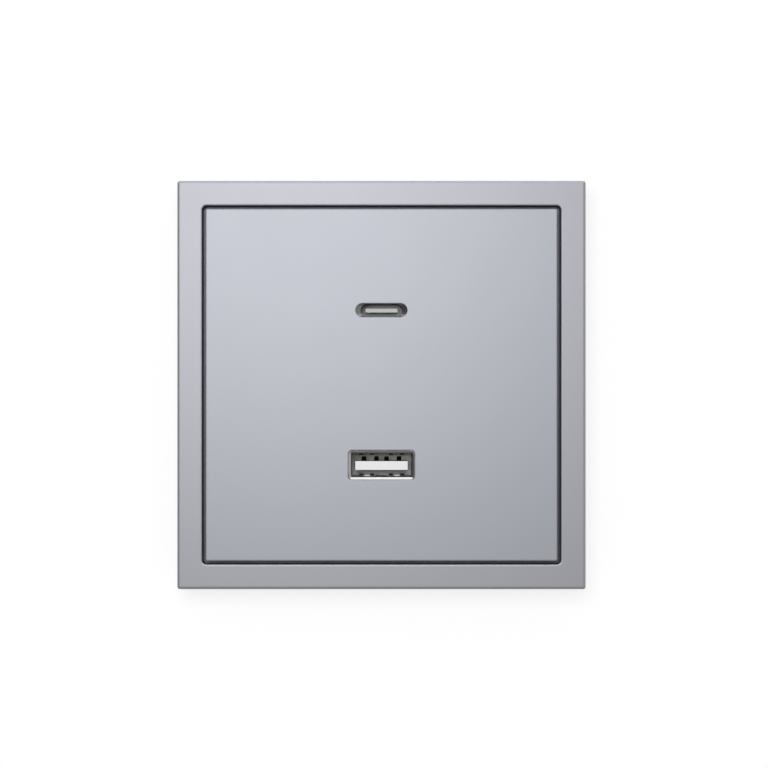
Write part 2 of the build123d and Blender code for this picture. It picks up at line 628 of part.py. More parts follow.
def claw_right():
    """The right claw: a strip curled round its trunnions, bent down and toothed at its end."""
    tab_angle = -CLAW_REST_TILT
    arm_angle = tab_angle - CLAW_BEND
    tooth_angle = arm_angle + CLAW_TOOTH_BEND
    points = [(PIVOT_X, PIVOT_Z)]
    for angle, length in ((tab_angle, CLAW_TAB), (arm_angle, CLAW_ARM), (tooth_angle, CLAW_TOOTH)):
        step = turned(angle, length)
        points.append((points[-1][0] + step[0], points[-1][1] + step[1]))
    claw = Plane.XZ * bent_sheet(points, CLAW_BEND_RADIUS + CLAW_SHEET / 2, CLAW_SHEET, CLAW_WIDTH)
    curl = Circle(CLAW_CURL_RADIUS)
    claw += extrude(Plane.XZ * Pos(*points[0]) * curl, BAY_HALF + TRUNNION_REACH, both=True)

    tilt = math.radians(CLAW_REST_TILT)
    screw_reach = CLAW_SCREW_RADIUS / math.cos(tilt) + CLAW_SHEET / 2 * math.tan(tilt) + CLAW_SLOT_PLAY
    slot_start = CLAW_SCREW_OFFSET - CLAW_SCREW_RADIUS - CLAW_SLOT_PLAY
    slot_end = CLAW_SCREW_OFFSET / math.cos(tilt) + screw_reach
    slot = Rectangle(slot_end - slot_start, 2 * (CLAW_SCREW_RADIUS + CLAW_SLOT_PLAY))
    tab_plane = Plane(
        origin=(PIVOT_X, 0, PIVOT_Z),
        x_dir=(math.cos(tilt), 0, -math.sin(tilt)),
        z_dir=(math.sin(tilt), 0, math.cos(tilt)),
    )
    claw -= extrude(tab_plane * Pos((slot_start + slot_end) / 2, 0) * slot, CLAW_SHEET, both=True)

    tip = Vector(points[-1][0], 0, points[-1][1])
    along = turned(tooth_angle, 1)
    tooth_plane = Plane(origin=tip, x_dir=(along[0], 0, along[1]), z_dir=(-along[1], 0, along[0]))
    pitch = CLAW_WIDTH / CLAW_TEETH
    notch = Polygon((-CLAW_TOOTH_NOTCH, 0), (0, pitch / 2), (0, -pitch / 2), align=None)
    for i in range(CLAW_TEETH + 1):
        place = (i - CLAW_TEETH / 2) * pitch
        claw -= extrude(tooth_plane * Pos(0, place) * notch, CLAW_SHEET, both=True)
    return claw


def claw_screw_right():
    """The right claw's screw, with its head on the ring's front."""
    shaft = CLAW_SCREW_RADIUS
    tip = NUT_Z - NUT_RADIUS - CLAW_SCREW_TIP
    top = RING_SHEET + CLAW_SCREW_HEAD_HEIGHT
    screw = slab(Circle(shaft), tip, RING_SHEET)
    screw = chamfer(screw.edges().sort_by(Axis.Z)[0], CLAW_SCREW_TIP_CHAMFER)
    head = slab(Circle(CLAW_SCREW_HEAD_RADIUS), RING_SHEET, top)
    head = chamfer(head.edges().sort_by(Axis.Z)[-1], CLAW_SCREW_HEAD_HEIGHT / 3)
    screw += head
    for turn in (0, 90):
        drive = Rot(0, 0, turn) * Rectangle(2 * shaft, CLAW_SCREW_SLOT)
        screw -= slab(drive, top - CLAW_SCREW_SLOT_DEPTH, top)
    return Pos(CLAW_SCREW_X, 0, 0) * screw


def claw_nut_right():
    """The right claw's barrel nut, which lies across the bay under the claw's tab."""
    barrel = extrude(Plane.XZ * Circle(NUT_RADIUS), NUT_LENGTH / 2, both=True)
    barrel = chamfer(barrel.edges().filter_by(GeomType.CIRCLE), NUT_EDGE_CHAMFER)
    barrel -= slab(Circle(CLAW_SCREW_RADIUS + CLAW_SCREW_PLAY), -NUT_RADIUS, NUT_RADIUS)
    return Pos(CLAW_SCREW_X, 0, NUT_Z) * barrel


# Circuit board and ports

def circuit_board():
    """The board: the cup's inside outline, cut clear of the claw bays and bored for the screws."""
    inset = BODY_WALL + BOARD_PLAY
    block = Rectangle(BODY_WIDTH - 2 * inset, BODY_HEIGHT - 2 * inset)
    outline = block & Circle(BODY_DIAMETER / 2 - inset)
    bay = Rectangle(BODY_WIDTH, 2 * (CHEEK_EDGE + BOARD_PLAY))
    for side in SIDES:
        outline -= Pos(side * (BAY_FLOOR - inset + BODY_WIDTH / 2), 0) * bay
    for x, y in corners(SCREW_X, SCREW_Y):
        outline -= Pos(x, y) * Circle(SCREW_RADIUS + BOARD_HOLE_PLAY)
    return slab(outline, BOARD_BACK, BOARD_FRONT)


def usb_a_finger(wall, inward):
    """One forked spring finger of the type A shell, bowed inward from a wall of the shell."""
    root = USB_A_BASE_TOP + USB_A_FINGER_GAP
    tip = root + USB_A_FINGER_LENGTH
    crest = tip - USB_A_FINGER_TURN
    bow = wall + inward * USB_A_FINGER_BOW
    points = [(wall, root), (bow, crest), (wall + inward * USB_A_FINGER_BOW / 2, tip)]
    finger = side_plane(0) * bent_sheet(points, USB_A_SHEET, USB_A_SHEET, USB_A_FINGER_WIDTH)
    fork = Pos(0, wall) * Rectangle(USB_A_FINGER_FORK, USB_A_HEIGHT)
    return finger - slab(fork, root + USB_A_FINGER_HEEL, USB_A_MOUTH)


def usb_a_shell():
    """The type A shell: a drawn steel sleeve with a flared mouth and four spring fingers."""
    neck = USB_A_MOUTH - USB_A_FLARE_DEPTH
    lip = usb_a_outline(USB_A_FLARE - USB_A_FLARE_RIM)
    inside = usb_a_outline(-USB_A_SHEET)
    shell = slab(usb_a_outline(0), BOARD_FRONT, neck)
    shell += bell(usb_a_outline(0), usb_a_outline(USB_A_FLARE), neck, USB_A_MOUTH)
    shell -= slab(inside, BOARD_FRONT, neck)
    shell -= bell(inside, lip, neck, USB_A_MOUTH)
    root = USB_A_BASE_TOP + USB_A_FINGER_GAP
    slit = Rectangle(USB_A_FINGER_WIDTH + 2 * USB_A_FINGER_SLIT, USB_A_SHEET)
    for x, side in corners(USB_A_FINGER_OFFSET, 1):
        wall = USB_A_Y + side * (USB_A_HEIGHT - USB_A_SHEET) / 2
        shell -= slab(Pos(x, wall) * slit, root, root + USB_A_FINGER_LENGTH + USB_A_FINGER_SLIT)
        shell += Pos(x, 0, 0) * usb_a_finger(wall, -side)
    return shell


USB_A_TONGUE_TIP = USB_A_MOUTH - USB_A_TONGUE_RECESS
USB_A_TONGUE_Y = USB_A_Y - USB_A_TONGUE_DROP
USB_A_TONGUE_TOP = USB_A_TONGUE_Y + USB_A_TONGUE_SHEET / 2


def usb_a_insulator():
    """The type A insulator: a base in the shell and the tongue, grooved for the contacts."""
    base = slab(usb_a_outline(-USB_A_SHEET - USB_INSULATOR_PLAY), BOARD_FRONT, USB_A_BASE_TOP)
    bar = Pos(0, USB_A_TONGUE_Y) * Rectangle(USB_A_TONGUE_WIDTH, USB_A_TONGUE_SHEET)
    tongue = slab(bar, USB_A_BASE_TOP, USB_A_TONGUE_TIP)
    insulator = base + tongue
    groove = Rectangle(USB_A_CONTACT_WIDTH + 2 * USB_A_GROOVE_PLAY, USB_A_GROOVE_DEPTH)
    for x in USB_A_CONTACT_PLACES:
        place = Pos(x, USB_A_TONGUE_TOP - USB_A_GROOVE_DEPTH / 2)
        insulator -= slab(place * groove, USB_A_BASE_TOP, USB_A_TONGUE_TIP - USB_A_TONGUE_NOSE)
    return insulator


def usb_a_contacts():
    """The four type A contacts, each a strip in its groove with a sprung bump near the tip."""
    seat = USB_A_TONGUE_TOP - USB_A_GROOVE_DEPTH + USB_A_CONTACT_SHEET / 2
    tip = USB_A_TONGUE_TIP - USB_A_TONGUE_NOSE - USB_A_CONTACT_SETBACK
    crest = tip - USB_A_CONTACT_SPRING / 3
    heel = tip - USB_A_CONTACT_SPRING
    points = [(seat, USB_A_BASE_TOP), (seat, heel), (seat + USB_A_CONTACT_BUMP, crest), (seat, tip)]
    strip = bent_sheet(points, USB_A_CONTACT_SHEET, USB_A_CONTACT_SHEET, USB_A_CONTACT_WIDTH)
    return Compound([side_plane(x) * strip for x in USB_A_CONTACT_PLACES])


def usb_c_shell():
    """The type C shell: a drawn steel sleeve whose mouth flares out behind the plate's edge."""
    inside = usb_c_outline(-USB_C_SHEET)
    shell = slab(usb_c_outline(0), BOARD_FRONT, PLATE_BACK)
    shell += bell(usb_c_outline(0), usb_c_flare_outline(0), PLATE_BACK, USB_C_MOUTH)
    shell -= slab(inside, BOARD_FRONT, PLATE_BACK)
    return shell - bell(inside, usb_c_flare_outline(-USB_C_FLARE_RIM), PLATE_BACK, USB_C_MOUTH)


def usb_c_insulator():
    """The type C insulator: a base in the shell and the thin middle tongue."""
    base = slab(usb_c_outline(-USB_C_SHEET - USB_INSULATOR_PLAY), BOARD_FRONT, USB_C_BASE_TOP)
    bar = RectangleRounded(USB_C_TONGUE_WIDTH, USB_C_TONGUE_SHEET, USB_C_TONGUE_SHEET / 4)
    return base + slab(Pos(0, USB_C_Y) * bar, USB_C_BASE_TOP, USB_C_MOUTH - USB_C_TONGUE_RECESS)


def usb_c_contacts():
    """The two rows of type C contacts on the tongue's faces."""
    high = USB_C_MOUTH - USB_C_TONGUE_RECESS - USB_C_CONTACT_SETBACK
    pad = slab(Rectangle(USB_C_CONTACT_WIDTH, USB_C_CONTACT_SHEET), high - USB_C_CONTACT_LENGTH, high)
    off_centre = (USB_C_TONGUE_SHEET + USB_C_CONTACT_SHEET) / 2
    pads = []
    for i in range(USB_C_CONTACTS_A_ROW):
        x = (i - (USB_C_CONTACTS_A_ROW - 1) / 2) * USB_C_CONTACT_PITCH
        pads += [Pos(x, USB_C_Y + side * off_centre, 0) * pad for side in SIDES]
    return Compound(pads)


# Terminals

def terminal_block(x):
    """One pole's block: a chamber open to the board, two wire holes and a button slot behind."""
    outline = Pos(x, TERMINAL_Y) * Rectangle(TERMINAL_WIDTH, TERMINAL_HEIGHT)
    chamber = Rectangle(TERMINAL_WIDTH - 2 * TERMINAL_WALL, TERMINAL_HEIGHT - 2 * TERMINAL_WALL)
    block = slab(outline, -STEP_DEPTH, BOARD_BACK)
    block -= slab(Pos(x, TERMINAL_Y) * chamber, CHAMBER_FLOOR, BOARD_BACK)
    slot = Rectangle(BUTTON_WIDTH + 2 * BUTTON_PLAY, BUTTON_HEIGHT + 2 * BUTTON_PLAY)
    block -= slab(Pos(x, BUTTON_Y) * slot, -STEP_DEPTH, CHAMBER_FLOOR)
    mouth = WIRE_HOLE_RADIUS + WIRE_HOLE_FUNNEL
    funnel = Cone(mouth, WIRE_HOLE_RADIUS, WIRE_HOLE_FUNNEL, align=(Align.CENTER, Align.CENTER, Align.MIN))
    for side in SIDES:
        place = Pos(x + side * WIRE_HOLE_PITCH / 2, WIRE_Y)
        block -= slab(place * Circle(WIRE_HOLE_RADIUS), -STEP_DEPTH, CHAMBER_FLOOR)
        block -= place * Pos(0, 0, -STEP_DEPTH) * funnel
    return block


def busbar(x):
    """One pole's busbar: a brass strip on the chamber's lower wall, soldered to the board."""
    strip = Pos(x, CHAMBER_BOTTOM + BUSBAR_SHEET / 2) * Rectangle(BUSBAR_WIDTH, BUSBAR_SHEET)
    return slab(strip, CHAMBER_FLOOR + BUSBAR_END_GAP, BOARD_BACK)


def clamp_spring(x):
    """One pole's leaf spring: a leg on the chamber's upper wall, a heel and the clamping leg."""
    back = CHAMBER_TOP - CLAMP_SHEET / 2
    tip_y = CHAMBER_BOTTOM + BUSBAR_SHEET + CLAMP_TIP_GAP + CLAMP_SHEET / 2
    points = [
        (back, BOARD_BACK - CLAMP_ROOT_GAP),
        (back, CHAMBER_FLOOR + CLAMP_HEEL_GAP),
        (tip_y, BOARD_BACK - CLAMP_TIP_RISE),
    ]
    return side_plane(x) * bent_sheet(points, CLAMP_HEEL_RADIUS, CLAMP_SHEET, CLAMP_WIDTH)


def release_button(x):
    """One pole's button: a slotted cap, a collar that keeps it in, and a nose towards the spring."""
    place = Pos(x, BUTTON_Y)
    cap_back = -STEP_DEPTH - BUTTON_PROUD
    collar_low = CHAMBER_FLOOR + BUTTON_PLAY
    collar_high = collar_low + BUTTON_COLLAR_SHEET
    button = slab(place * Rectangle(BUTTON_WIDTH, BUTTON_HEIGHT), cap_back, collar_low)
    collar = Rectangle(BUTTON_WIDTH + 2 * BUTTON_COLLAR, BUTTON_HEIGHT)
    button += slab(place * collar, collar_low, collar_high)
    nose_y = BUTTON_Y - (BUTTON_HEIGHT - BUTTON_NOSE_HEIGHT) / 2
    nose = Pos(x, nose_y) * Rectangle(BUTTON_NOSE_WIDTH, BUTTON_NOSE_HEIGHT)
    button += slab(nose, collar_high, collar_high + BUTTON_NOSE_LENGTH)
    slot = place * Rectangle(BUTTON_SLOT_WIDTH, BUTTON_SLOT_DEPTH)
    return button - slab(slot, cap_back, cap_back + BUTTON_SLOT_DEPTH)


# Parts on the circuit board

TRANSFORMER_Y = CAVITY_TOP - TRANSFORMER_WALL_GAP - WINDING_REACH
CORE_FRONT = BOARD_BACK - BOBBIN_BASE
CORE_MIDDLE = CORE_FRONT - CORE_HEIGHT / 2
CORE_WINDOW_WIDTH = (CORE_WIDTH - 2 * CORE_LEG - CORE_MIDDLE_LEG) / 2
CORE_WINDOW_HEIGHT = CORE_HEIGHT - 2 * CORE_YOKE
SPOOL_WIDTH = CORE_MIDDLE_LEG + 2 * BOBBIN_PLAY + 2 * BOBBIN_WALL
SPOOL_DEPTH = CORE_SHEET + 2 * BOBBIN_PLAY + 2 * BOBBIN_WALL
SPOOL_FLANGE_WIDTH = CORE_MIDDLE_LEG + 2 * CORE_WINDOW_WIDTH - 2 * BOBBIN_PLAY
SPOOL_HALF = CORE_WINDOW_HEIGHT / 2 - BOBBIN_PLAY

# The tall parts stand in columns between the transformer and the terminals, evenly spaced in each
COLUMN_TOP = TRANSFORMER_Y - WINDING_REACH
COLUMN_HEIGHT = COLUMN_TOP - TERMINAL_TOP
LIVE_GAP = (COLUMN_HEIGHT - 2 * BULK_CAPACITOR_RADIUS - RECTIFIER_SIZE[1]) / 3
BULK_X = CAVITY_BAY - PART_WALL_GAP - BULK_CAPACITOR_RADIUS
BULK_CAPACITOR_PLACE = (BULK_X, COLUMN_TOP - LIVE_GAP - BULK_CAPACITOR_RADIUS)
RECTIFIER_PLACE = (BULK_X, TERMINAL_TOP + LIVE_GAP + RECTIFIER_SIZE[1] / 2)
OUTPUT_GAP = (COLUMN_HEIGHT - 2 * OUTPUT_CAPACITOR_RADIUS - 2 * CHOKE_RADIUS) / 3
OUTPUT_X = OUTPUT_CAPACITOR_RADIUS + PART_WALL_GAP - CAVITY_BAY
OUTPUT_CAPACITOR_PLACE = (OUTPUT_X, COLUMN_TOP - OUTPUT_GAP - OUTPUT_CAPACITOR_RADIUS)
CHOKE_PLACE = (CHOKE_RADIUS + PART_WALL_GAP - CAVITY_BAY, TERMINAL_TOP + OUTPUT_GAP + CHOKE_RADIUS)
MIDDLE_X = (BULK_X - BULK_CAPACITOR_RADIUS + OUTPUT_X + OUTPUT_CAPACITOR_RADIUS) / 2
SUPPRESSION_CAPACITOR_PLACE = (MIDDLE_X, (COLUMN_TOP + TERMINAL_TOP) / 2)

# The varistor and the fuse lie between a claw bay and a screw post, against the side
SIDE_PART_Y = -(CHEEK_EDGE + SCREW_Y - POST_RADIUS) / 2
VARISTOR_PLACE = (CAVITY_SIDE - SIDE_PART_GAP - VARISTOR_RADIUS, SIDE_PART_Y)
FUSE_PLACE = (FUSE_LENGTH / 2 + SIDE_PART_GAP - CAVITY_SIDE, SIDE_PART_Y)


def transformer_core():
    """The ferrite core: two E halves that close round the spool."""
    face = Rectangle(CORE_WIDTH, CORE_HEIGHT)
    for side in SIDES:
        window = Rectangle(CORE_WINDOW_WIDTH, CORE_WINDOW_HEIGHT)
        face -= Pos(side * (CORE_MIDDLE_LEG + CORE_WINDOW_WIDTH) / 2, 0) * window
    core = extrude(Plane.XZ * face, CORE_SHEET / 2, both=True)
    return Pos(0, TRANSFORMER_Y, CORE_MIDDLE) * core


def transformer_bobbin():
    """The bobbin: a spool with two flanges on the middle leg, and two foot rails on the board."""
    hole = Rectangle(CORE_MIDDLE_LEG + 2 * BOBBIN_PLAY, CORE_SHEET + 2 * BOBBIN_PLAY)
    tube = Rectangle(SPOOL_WIDTH, SPOOL_DEPTH) - hole
    flange = Rectangle(SPOOL_FLANGE_WIDTH, 2 * WINDING_REACH) - hole
    bobbin = slab(tube, -SPOOL_HALF, SPOOL_HALF)
    bobbin += slab(flange, -SPOOL_HALF, -SPOOL_HALF + BOBBIN_WALL)
    bobbin += slab(flange, SPOOL_HALF - BOBBIN_WALL, SPOOL_HALF)
    rail_depth = WINDING_REACH - CORE_SHEET / 2 - BOBBIN_PLAY
    rail = Rectangle(BOBBIN_BASE_WIDTH, rail_depth)
    for side in SIDES:
        place = Pos(0, side * (WINDING_REACH - rail_depth / 2))
        bobbin += slab(place * rail, SPOOL_HALF, CORE_HEIGHT / 2 + BOBBIN_BASE)
    bobbin -= slab(Rectangle(CORE_WIDTH, CORE_SHEET + 2 * BOBBIN_PLAY), SPOOL_HALF, CORE_HEIGHT)
    return Pos(0, TRANSFORMER_Y, CORE_MIDDLE) * bobbin


def transformer_winding():
    """The taped winding between the spool's flanges."""
    outer_width = SPOOL_FLANGE_WIDTH - 2 * BOBBIN_PLAY
    reach = 2 * (WINDING_REACH - BOBBIN_PLAY)
    coil = RectangleRounded(outer_width, reach, WINDING_CORNER_RADIUS)
    coil -= Rectangle(SPOOL_WIDTH, SPOOL_DEPTH)
    half = SPOOL_HALF - BOBBIN_WALL
    return Pos(0, TRANSFORMER_Y, CORE_MIDDLE) * slab(coil, -half, half)


def capacitor(place, radius, length):
    """A round can in its sleeve, standing on the board, with the crimp near its foot."""
    can = slab(Circle(radius), -length, 0)
    can = chamfer(can.edges().filter_by(GeomType.CIRCLE), CAPACITOR_EDGE_CHAMFER)
    depth = CAPACITOR_CRIMP_DEPTH
    groove = Polygon((radius - depth, 0), (radius, depth), (radius, -depth), align=None)
    crimp = revolve(Plane.XZ * Pos(0, -CAPACITOR_CRIMP_PLACE) * groove)
    return Pos(place[0], place[1], BOARD_BACK) * (can - crimp)


def chip(place, size, level, direction):
    """A moulded package that stands on one face of the board, its top edges bevelled."""
    block = Box(*size, align=(Align.CENTER, Align.CENTER, Align.MIN))
    block = chamfer(block.faces().sort_by(Axis.Z)[-1].edges(), CHIP_EDGE_CHAMFER)
    if direction < 0:
        block = mirror(block, about=Plane.XY)
    return Pos(place[0], place[1], level) * block


def choke_core():
    """The choke's drum core: a neck between two flanges."""
    drum = slab(Circle(CHOKE_NECK_RADIUS), -CHOKE_LENGTH, 0)
    drum += slab(Circle(CHOKE_RADIUS), -CHOKE_FLANGE, 0)
    drum += slab(Circle(CHOKE_RADIUS), -CHOKE_LENGTH, -CHOKE_LENGTH + CHOKE_FLANGE)
    return Pos(CHOKE_PLACE[0], CHOKE_PLACE[1], BOARD_BACK) * drum


def choke_winding():
    """The choke's copper winding between the flanges."""
    coil = Circle(CHOKE_RADIUS - CHOKE_WINDING_INSET) - Circle(CHOKE_NECK_RADIUS + CHOKE_WINDING_PLAY)
    winding = slab(coil, -CHOKE_LENGTH + CHOKE_FLANGE, -CHOKE_FLANGE)
    return Pos(CHOKE_PLACE[0], CHOKE_PLACE[1], BOARD_BACK) * winding


def varistor():
    """The varistor: a coated disc that stands on its edge."""
    disc = extrude(Plane.XZ * Circle(VARISTOR_RADIUS), VARISTOR_SHEET / 2, both=True)
    disc = chamfer(disc.edges().filter_by(GeomType.CIRCLE), VARISTOR_EDGE_CHAMFER)
    return Pos(VARISTOR_PLACE[0], VARISTOR_PLACE[1], BOARD_BACK - VARISTOR_RADIUS) * disc


def fuse():
    """The fuse: a small tube with a cap at each end, lying on the board."""
    cap_radius = FUSE_RADIUS + FUSE_CAP_RISE
    tube = extrude(Plane.YZ * Circle(FUSE_RADIUS), FUSE_LENGTH / 2, both=True)
    cap = extrude(Plane.YZ * Circle(cap_radius), FUSE_CAP / 2, both=True)
    for side in SIDES:
        tube += Pos(side * (FUSE_LENGTH - FUSE_CAP) / 2, 0, 0) * cap
    return Pos(FUSE_PLACE[0], FUSE_PLACE[1], BOARD_BACK - cap_radius) * tube


# All pieces by name, stood up on the wall and written out

pieces = {
    "cover_frame": cover_frame(),
    "cover_plate": cover_plate(),
    "cover_carrier": cover_carrier(),
    "support_ring": support_ring(),
    "housing_front": housing_front(),
    "housing_rear": housing_rear(),
    "housing_screws": housing_screws(),
    "circuit_board": circuit_board(),
    "usb_a_shell": usb_a_shell(),
    "usb_a_insulator": usb_a_insulator(),
    "usb_a_contacts": usb_a_contacts(),
    "usb_c_shell": usb_c_shell(),
    "usb_c_insulator": usb_c_insulator(),
    "usb_c_contacts": usb_c_contacts(),
    "transformer_core": transformer_core(),
    "transformer_bobbin": transformer_bobbin(),
    "transformer_winding": transformer_winding(),
    "bulk_capacitor": capacitor(BULK_CAPACITOR_PLACE, BULK_CAPACITOR_RADIUS, BULK_CAPACITOR_LENGTH),
    "output_capacitor": capacitor(OUTPUT_CAPACITOR_PLACE, OUTPUT_CAPACITOR_RADIUS, OUTPUT_CAPACITOR_LENGTH),
    "suppression_capacitor": chip(SUPPRESSION_CAPACITOR_PLACE, SUPPRESSION_CAPACITOR_SIZE, BOARD_BACK, -1),
    "choke_core": choke_core(),
    "choke_winding": choke_winding(),
    "varistor": varistor(),
    "fuse": fuse(),
    "bridge_rectifier": chip(RECTIFIER_PLACE, RECTIFIER_SIZE, BOARD_BACK, -1),
    "optocoupler": chip(OPTOCOUPLER_PLACE, OPTOCOUPLER_SIZE, BOARD_FRONT, 1),
    "charge_controller": chip(CONTROLLER_PLACE, CONTROLLER_SIZE, BOARD_FRONT, 1),
    "output_inductor": chip(INDUCTOR_PLACE, INDUCTOR_SIZE, BOARD_FRONT, 1),
}
for pole, pole_x in POLES:
    pieces["terminal_block_" + pole] = terminal_block(pole_x)
    pieces["busbar_" + pole] = busbar(pole_x)
    pieces["clamp_spring_" + pole] = clamp_spring(pole_x)
    pieces["release_button_" + pole] = release_button(pole_x)
claw_pieces = {"claw": claw_right(), "claw_screw": claw_screw_right(), "claw_nut": claw_nut_right()}
for name, piece in claw_pieces.items():
    pieces[name + "_right"] = piece
    pieces[name + "_left"] = mirror(piece, about=Plane.YZ)

os.makedirs("parts", exist_ok=True)
for name, piece in pieces.items():
    export_step(Rot(90, 0, 0) * piece, os.path.join("parts", name + ".step"))
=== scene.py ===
# %% [markdown]
# # A charging socket for the wall
#
# The part is a flush socket with two charging ports in a satin aluminium cover. Its shapes come from
# the imported model, which is loaded here as a fixed frame. Blender adds what solids alone can't show:
# the finish of each piece, the thread of the clamping screws, copies of the clamp springs that ride
# with the insert, the wall, the light and the camera.

# %% The imported part
import math

import bmesh
import bpy
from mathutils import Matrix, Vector


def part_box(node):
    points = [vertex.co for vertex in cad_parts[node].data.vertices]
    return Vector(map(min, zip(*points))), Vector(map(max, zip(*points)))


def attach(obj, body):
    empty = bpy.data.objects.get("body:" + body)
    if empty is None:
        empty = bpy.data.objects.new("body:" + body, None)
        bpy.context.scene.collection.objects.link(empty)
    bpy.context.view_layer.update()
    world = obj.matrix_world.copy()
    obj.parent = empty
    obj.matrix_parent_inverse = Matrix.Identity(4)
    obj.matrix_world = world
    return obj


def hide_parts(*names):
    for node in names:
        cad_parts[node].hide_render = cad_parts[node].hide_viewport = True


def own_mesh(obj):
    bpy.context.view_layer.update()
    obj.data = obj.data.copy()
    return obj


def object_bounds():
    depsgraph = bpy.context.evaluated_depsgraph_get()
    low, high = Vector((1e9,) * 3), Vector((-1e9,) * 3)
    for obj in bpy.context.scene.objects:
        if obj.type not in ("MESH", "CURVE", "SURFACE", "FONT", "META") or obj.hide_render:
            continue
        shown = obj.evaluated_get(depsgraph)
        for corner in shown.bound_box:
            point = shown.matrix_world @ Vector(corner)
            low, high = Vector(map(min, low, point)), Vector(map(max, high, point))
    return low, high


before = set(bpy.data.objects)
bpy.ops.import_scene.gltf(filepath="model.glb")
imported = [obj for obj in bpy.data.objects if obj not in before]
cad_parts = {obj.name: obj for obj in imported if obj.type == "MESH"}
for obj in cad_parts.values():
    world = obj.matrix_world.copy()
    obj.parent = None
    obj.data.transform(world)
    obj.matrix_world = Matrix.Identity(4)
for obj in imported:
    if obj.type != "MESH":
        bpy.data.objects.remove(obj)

cad_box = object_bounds()
scene = bpy.context.scene
scene.view_settings.view_transform = "Standard"


def in_mm(lengths):
    """Lengths in millimetres, short enough to print."""
    return [round(v * 1000, 3) for v in lengths]


print("nodes", len(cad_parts), "box in mm", [in_mm(corner) for corner in cad_box])

# %% [markdown]
# ## The camera
#
# The face is seen straight on, at the height of its middle. A flat view without perspective would keep
# the square frame square too, but a long lens also shows a sliver of each port's inner wall, as a real
# camera does. The distance follows from the frame's width in the picture, and a small sideways step
# sets the frame where it sits in the picture.

# %% Camera
PICTURE_SIDE = 768
FRAME_IN_PICTURE = 408.7
FRAME_CENTRE_IN_PICTURE = (381.5, 385.0)
LENS = 100
SENSOR = 36

face_y = cad_box[0].y
frame_width = cad_box[1].x - cad_box[0].x
metres_per_pixel = frame_width / FRAME_IN_PICTURE
camera_distance = PICTURE_SIDE * metres_per_pixel * LENS / SENSOR
camera_data = bpy.data.cameras.new("camera")
camera_data.lens = LENS
camera_data.sensor_width = SENSOR
camera = bpy.data.objects.new("camera", camera_data)
scene.collection.objects.link(camera)
aside = (PICTURE_SIDE / 2 - FRAME_CENTRE_IN_PICTURE[0]) * metres_per_pixel
above = (FRAME_CENTRE_IN_PICTURE[1] - PICTURE_SIDE / 2) * metres_per_pixel
camera.location = (aside, face_y - camera_distance, above)
camera.rotation_euler = (math.radians(90), 0, 0)
scene.camera = camera
print("camera in mm", in_mm(camera.location))

# %% [markdown]
# ## Nodes in few words
#
# Every finish below is a small tree of shader nodes. Drawn by hand in the editor, each would take many
# clicks, and it couldn't be read like a text. These helpers keep the cells short: one adds a node and
# fills or links its inputs, one does sums, one spreads a range and one mixes two colours by a mask.

# %% Helpers for node trees
def add(tree, kind, inputs=None, **settings):
    """Adds a shader node. A socket given as an input is linked, and any other value is set."""
    made = tree.nodes.new("ShaderNode" + kind)
    for name, value in settings.items():
        setattr(made, name, value)
    for name, value in (inputs or {}).items():
        if isinstance(value, bpy.types.NodeSocket):
            tree.links.new(value, made.inputs[name])
        else:
            made.inputs[name].default_value = value
    return made


def sums(tree, operation, first, second=0.0, clamp=False):
    """One sum of two values, as a socket."""
    return add(tree, "Math", {0: first, 1: second}, operation=operation, use_clamp=clamp).outputs[0]


def ramp(tree, value, low, high, start=0.0, end=1.0):
    """A value's range from low to high, spread from start to end."""
    ends = {"From Min": low, "From Max": high, "To Min": start, "To Max": end}
    return add(tree, "MapRange", {"Value": value, **ends}).outputs["Result"]


def mixed(tree, mask, under, over):
    """The colour under where the mask is 0 and the colour over where it is 1."""
    colours = [(*c, 1) if isinstance(c, tuple) else c for c in (under, over)]
    return add(tree, "Mix", {0: mask, 6: colours[0], 7: colours[1]}, data_type="RGBA").outputs[2]


def seen_rays(tree):
    """1 for what the camera sees, straight, in a reflection or through glass, and 0 for other light."""
    rays = add(tree, "LightPath").outputs
    straight_or_mirrored = sums(tree, "MAXIMUM", rays["Is Camera Ray"], rays["Is Glossy Ray"])
    return sums(tree, "MAXIMUM", straight_or_mirrored, rays["Is Transmission Ray"])


print("node helpers ready")

# %% [markdown]
# ## The wall
#
# The socket is fitted to a white wall, and a faint shadow round the frame is all that shows of it.
# A real wall has a round box set in it, and a boolean could cut one. Here the wall is a sheet with a
# square opening just inside the frame's outline, so that the back of the socket can be seen from
# behind. Its colour is white to the camera and to reflections, a pale grey to the lamps, so that it
# keeps the shadow, and it is see-through from behind. It throws no shadow itself, so the lamps behind
# it reach the frame's sides.

# %% Wall
WALL_HALF = 0.45
WALL_OPENING_HALF = 0.0385
WALL_GAP = 0.0001
WALL_GLOW = 0.75
WALL_GREY = 0.30

wall_mesh = bpy.data.meshes.new("wall")
corner_signs = [(-1, -1), (1, -1), (1, 1), (-1, 1)]
wall_points = [(x * s, WALL_GAP, z * s) for s in (WALL_HALF, WALL_OPENING_HALF) for x, z in corner_signs]
wall_sides = [(i, (i + 1) % 4, (i + 1) % 4 + 4, i + 4) for i in range(4)]
wall_mesh.from_pydata(wall_points, [], wall_sides)
wall = bpy.data.objects.new("wall", wall_mesh)
scene.collection.objects.link(wall)
wall.visible_shadow = False

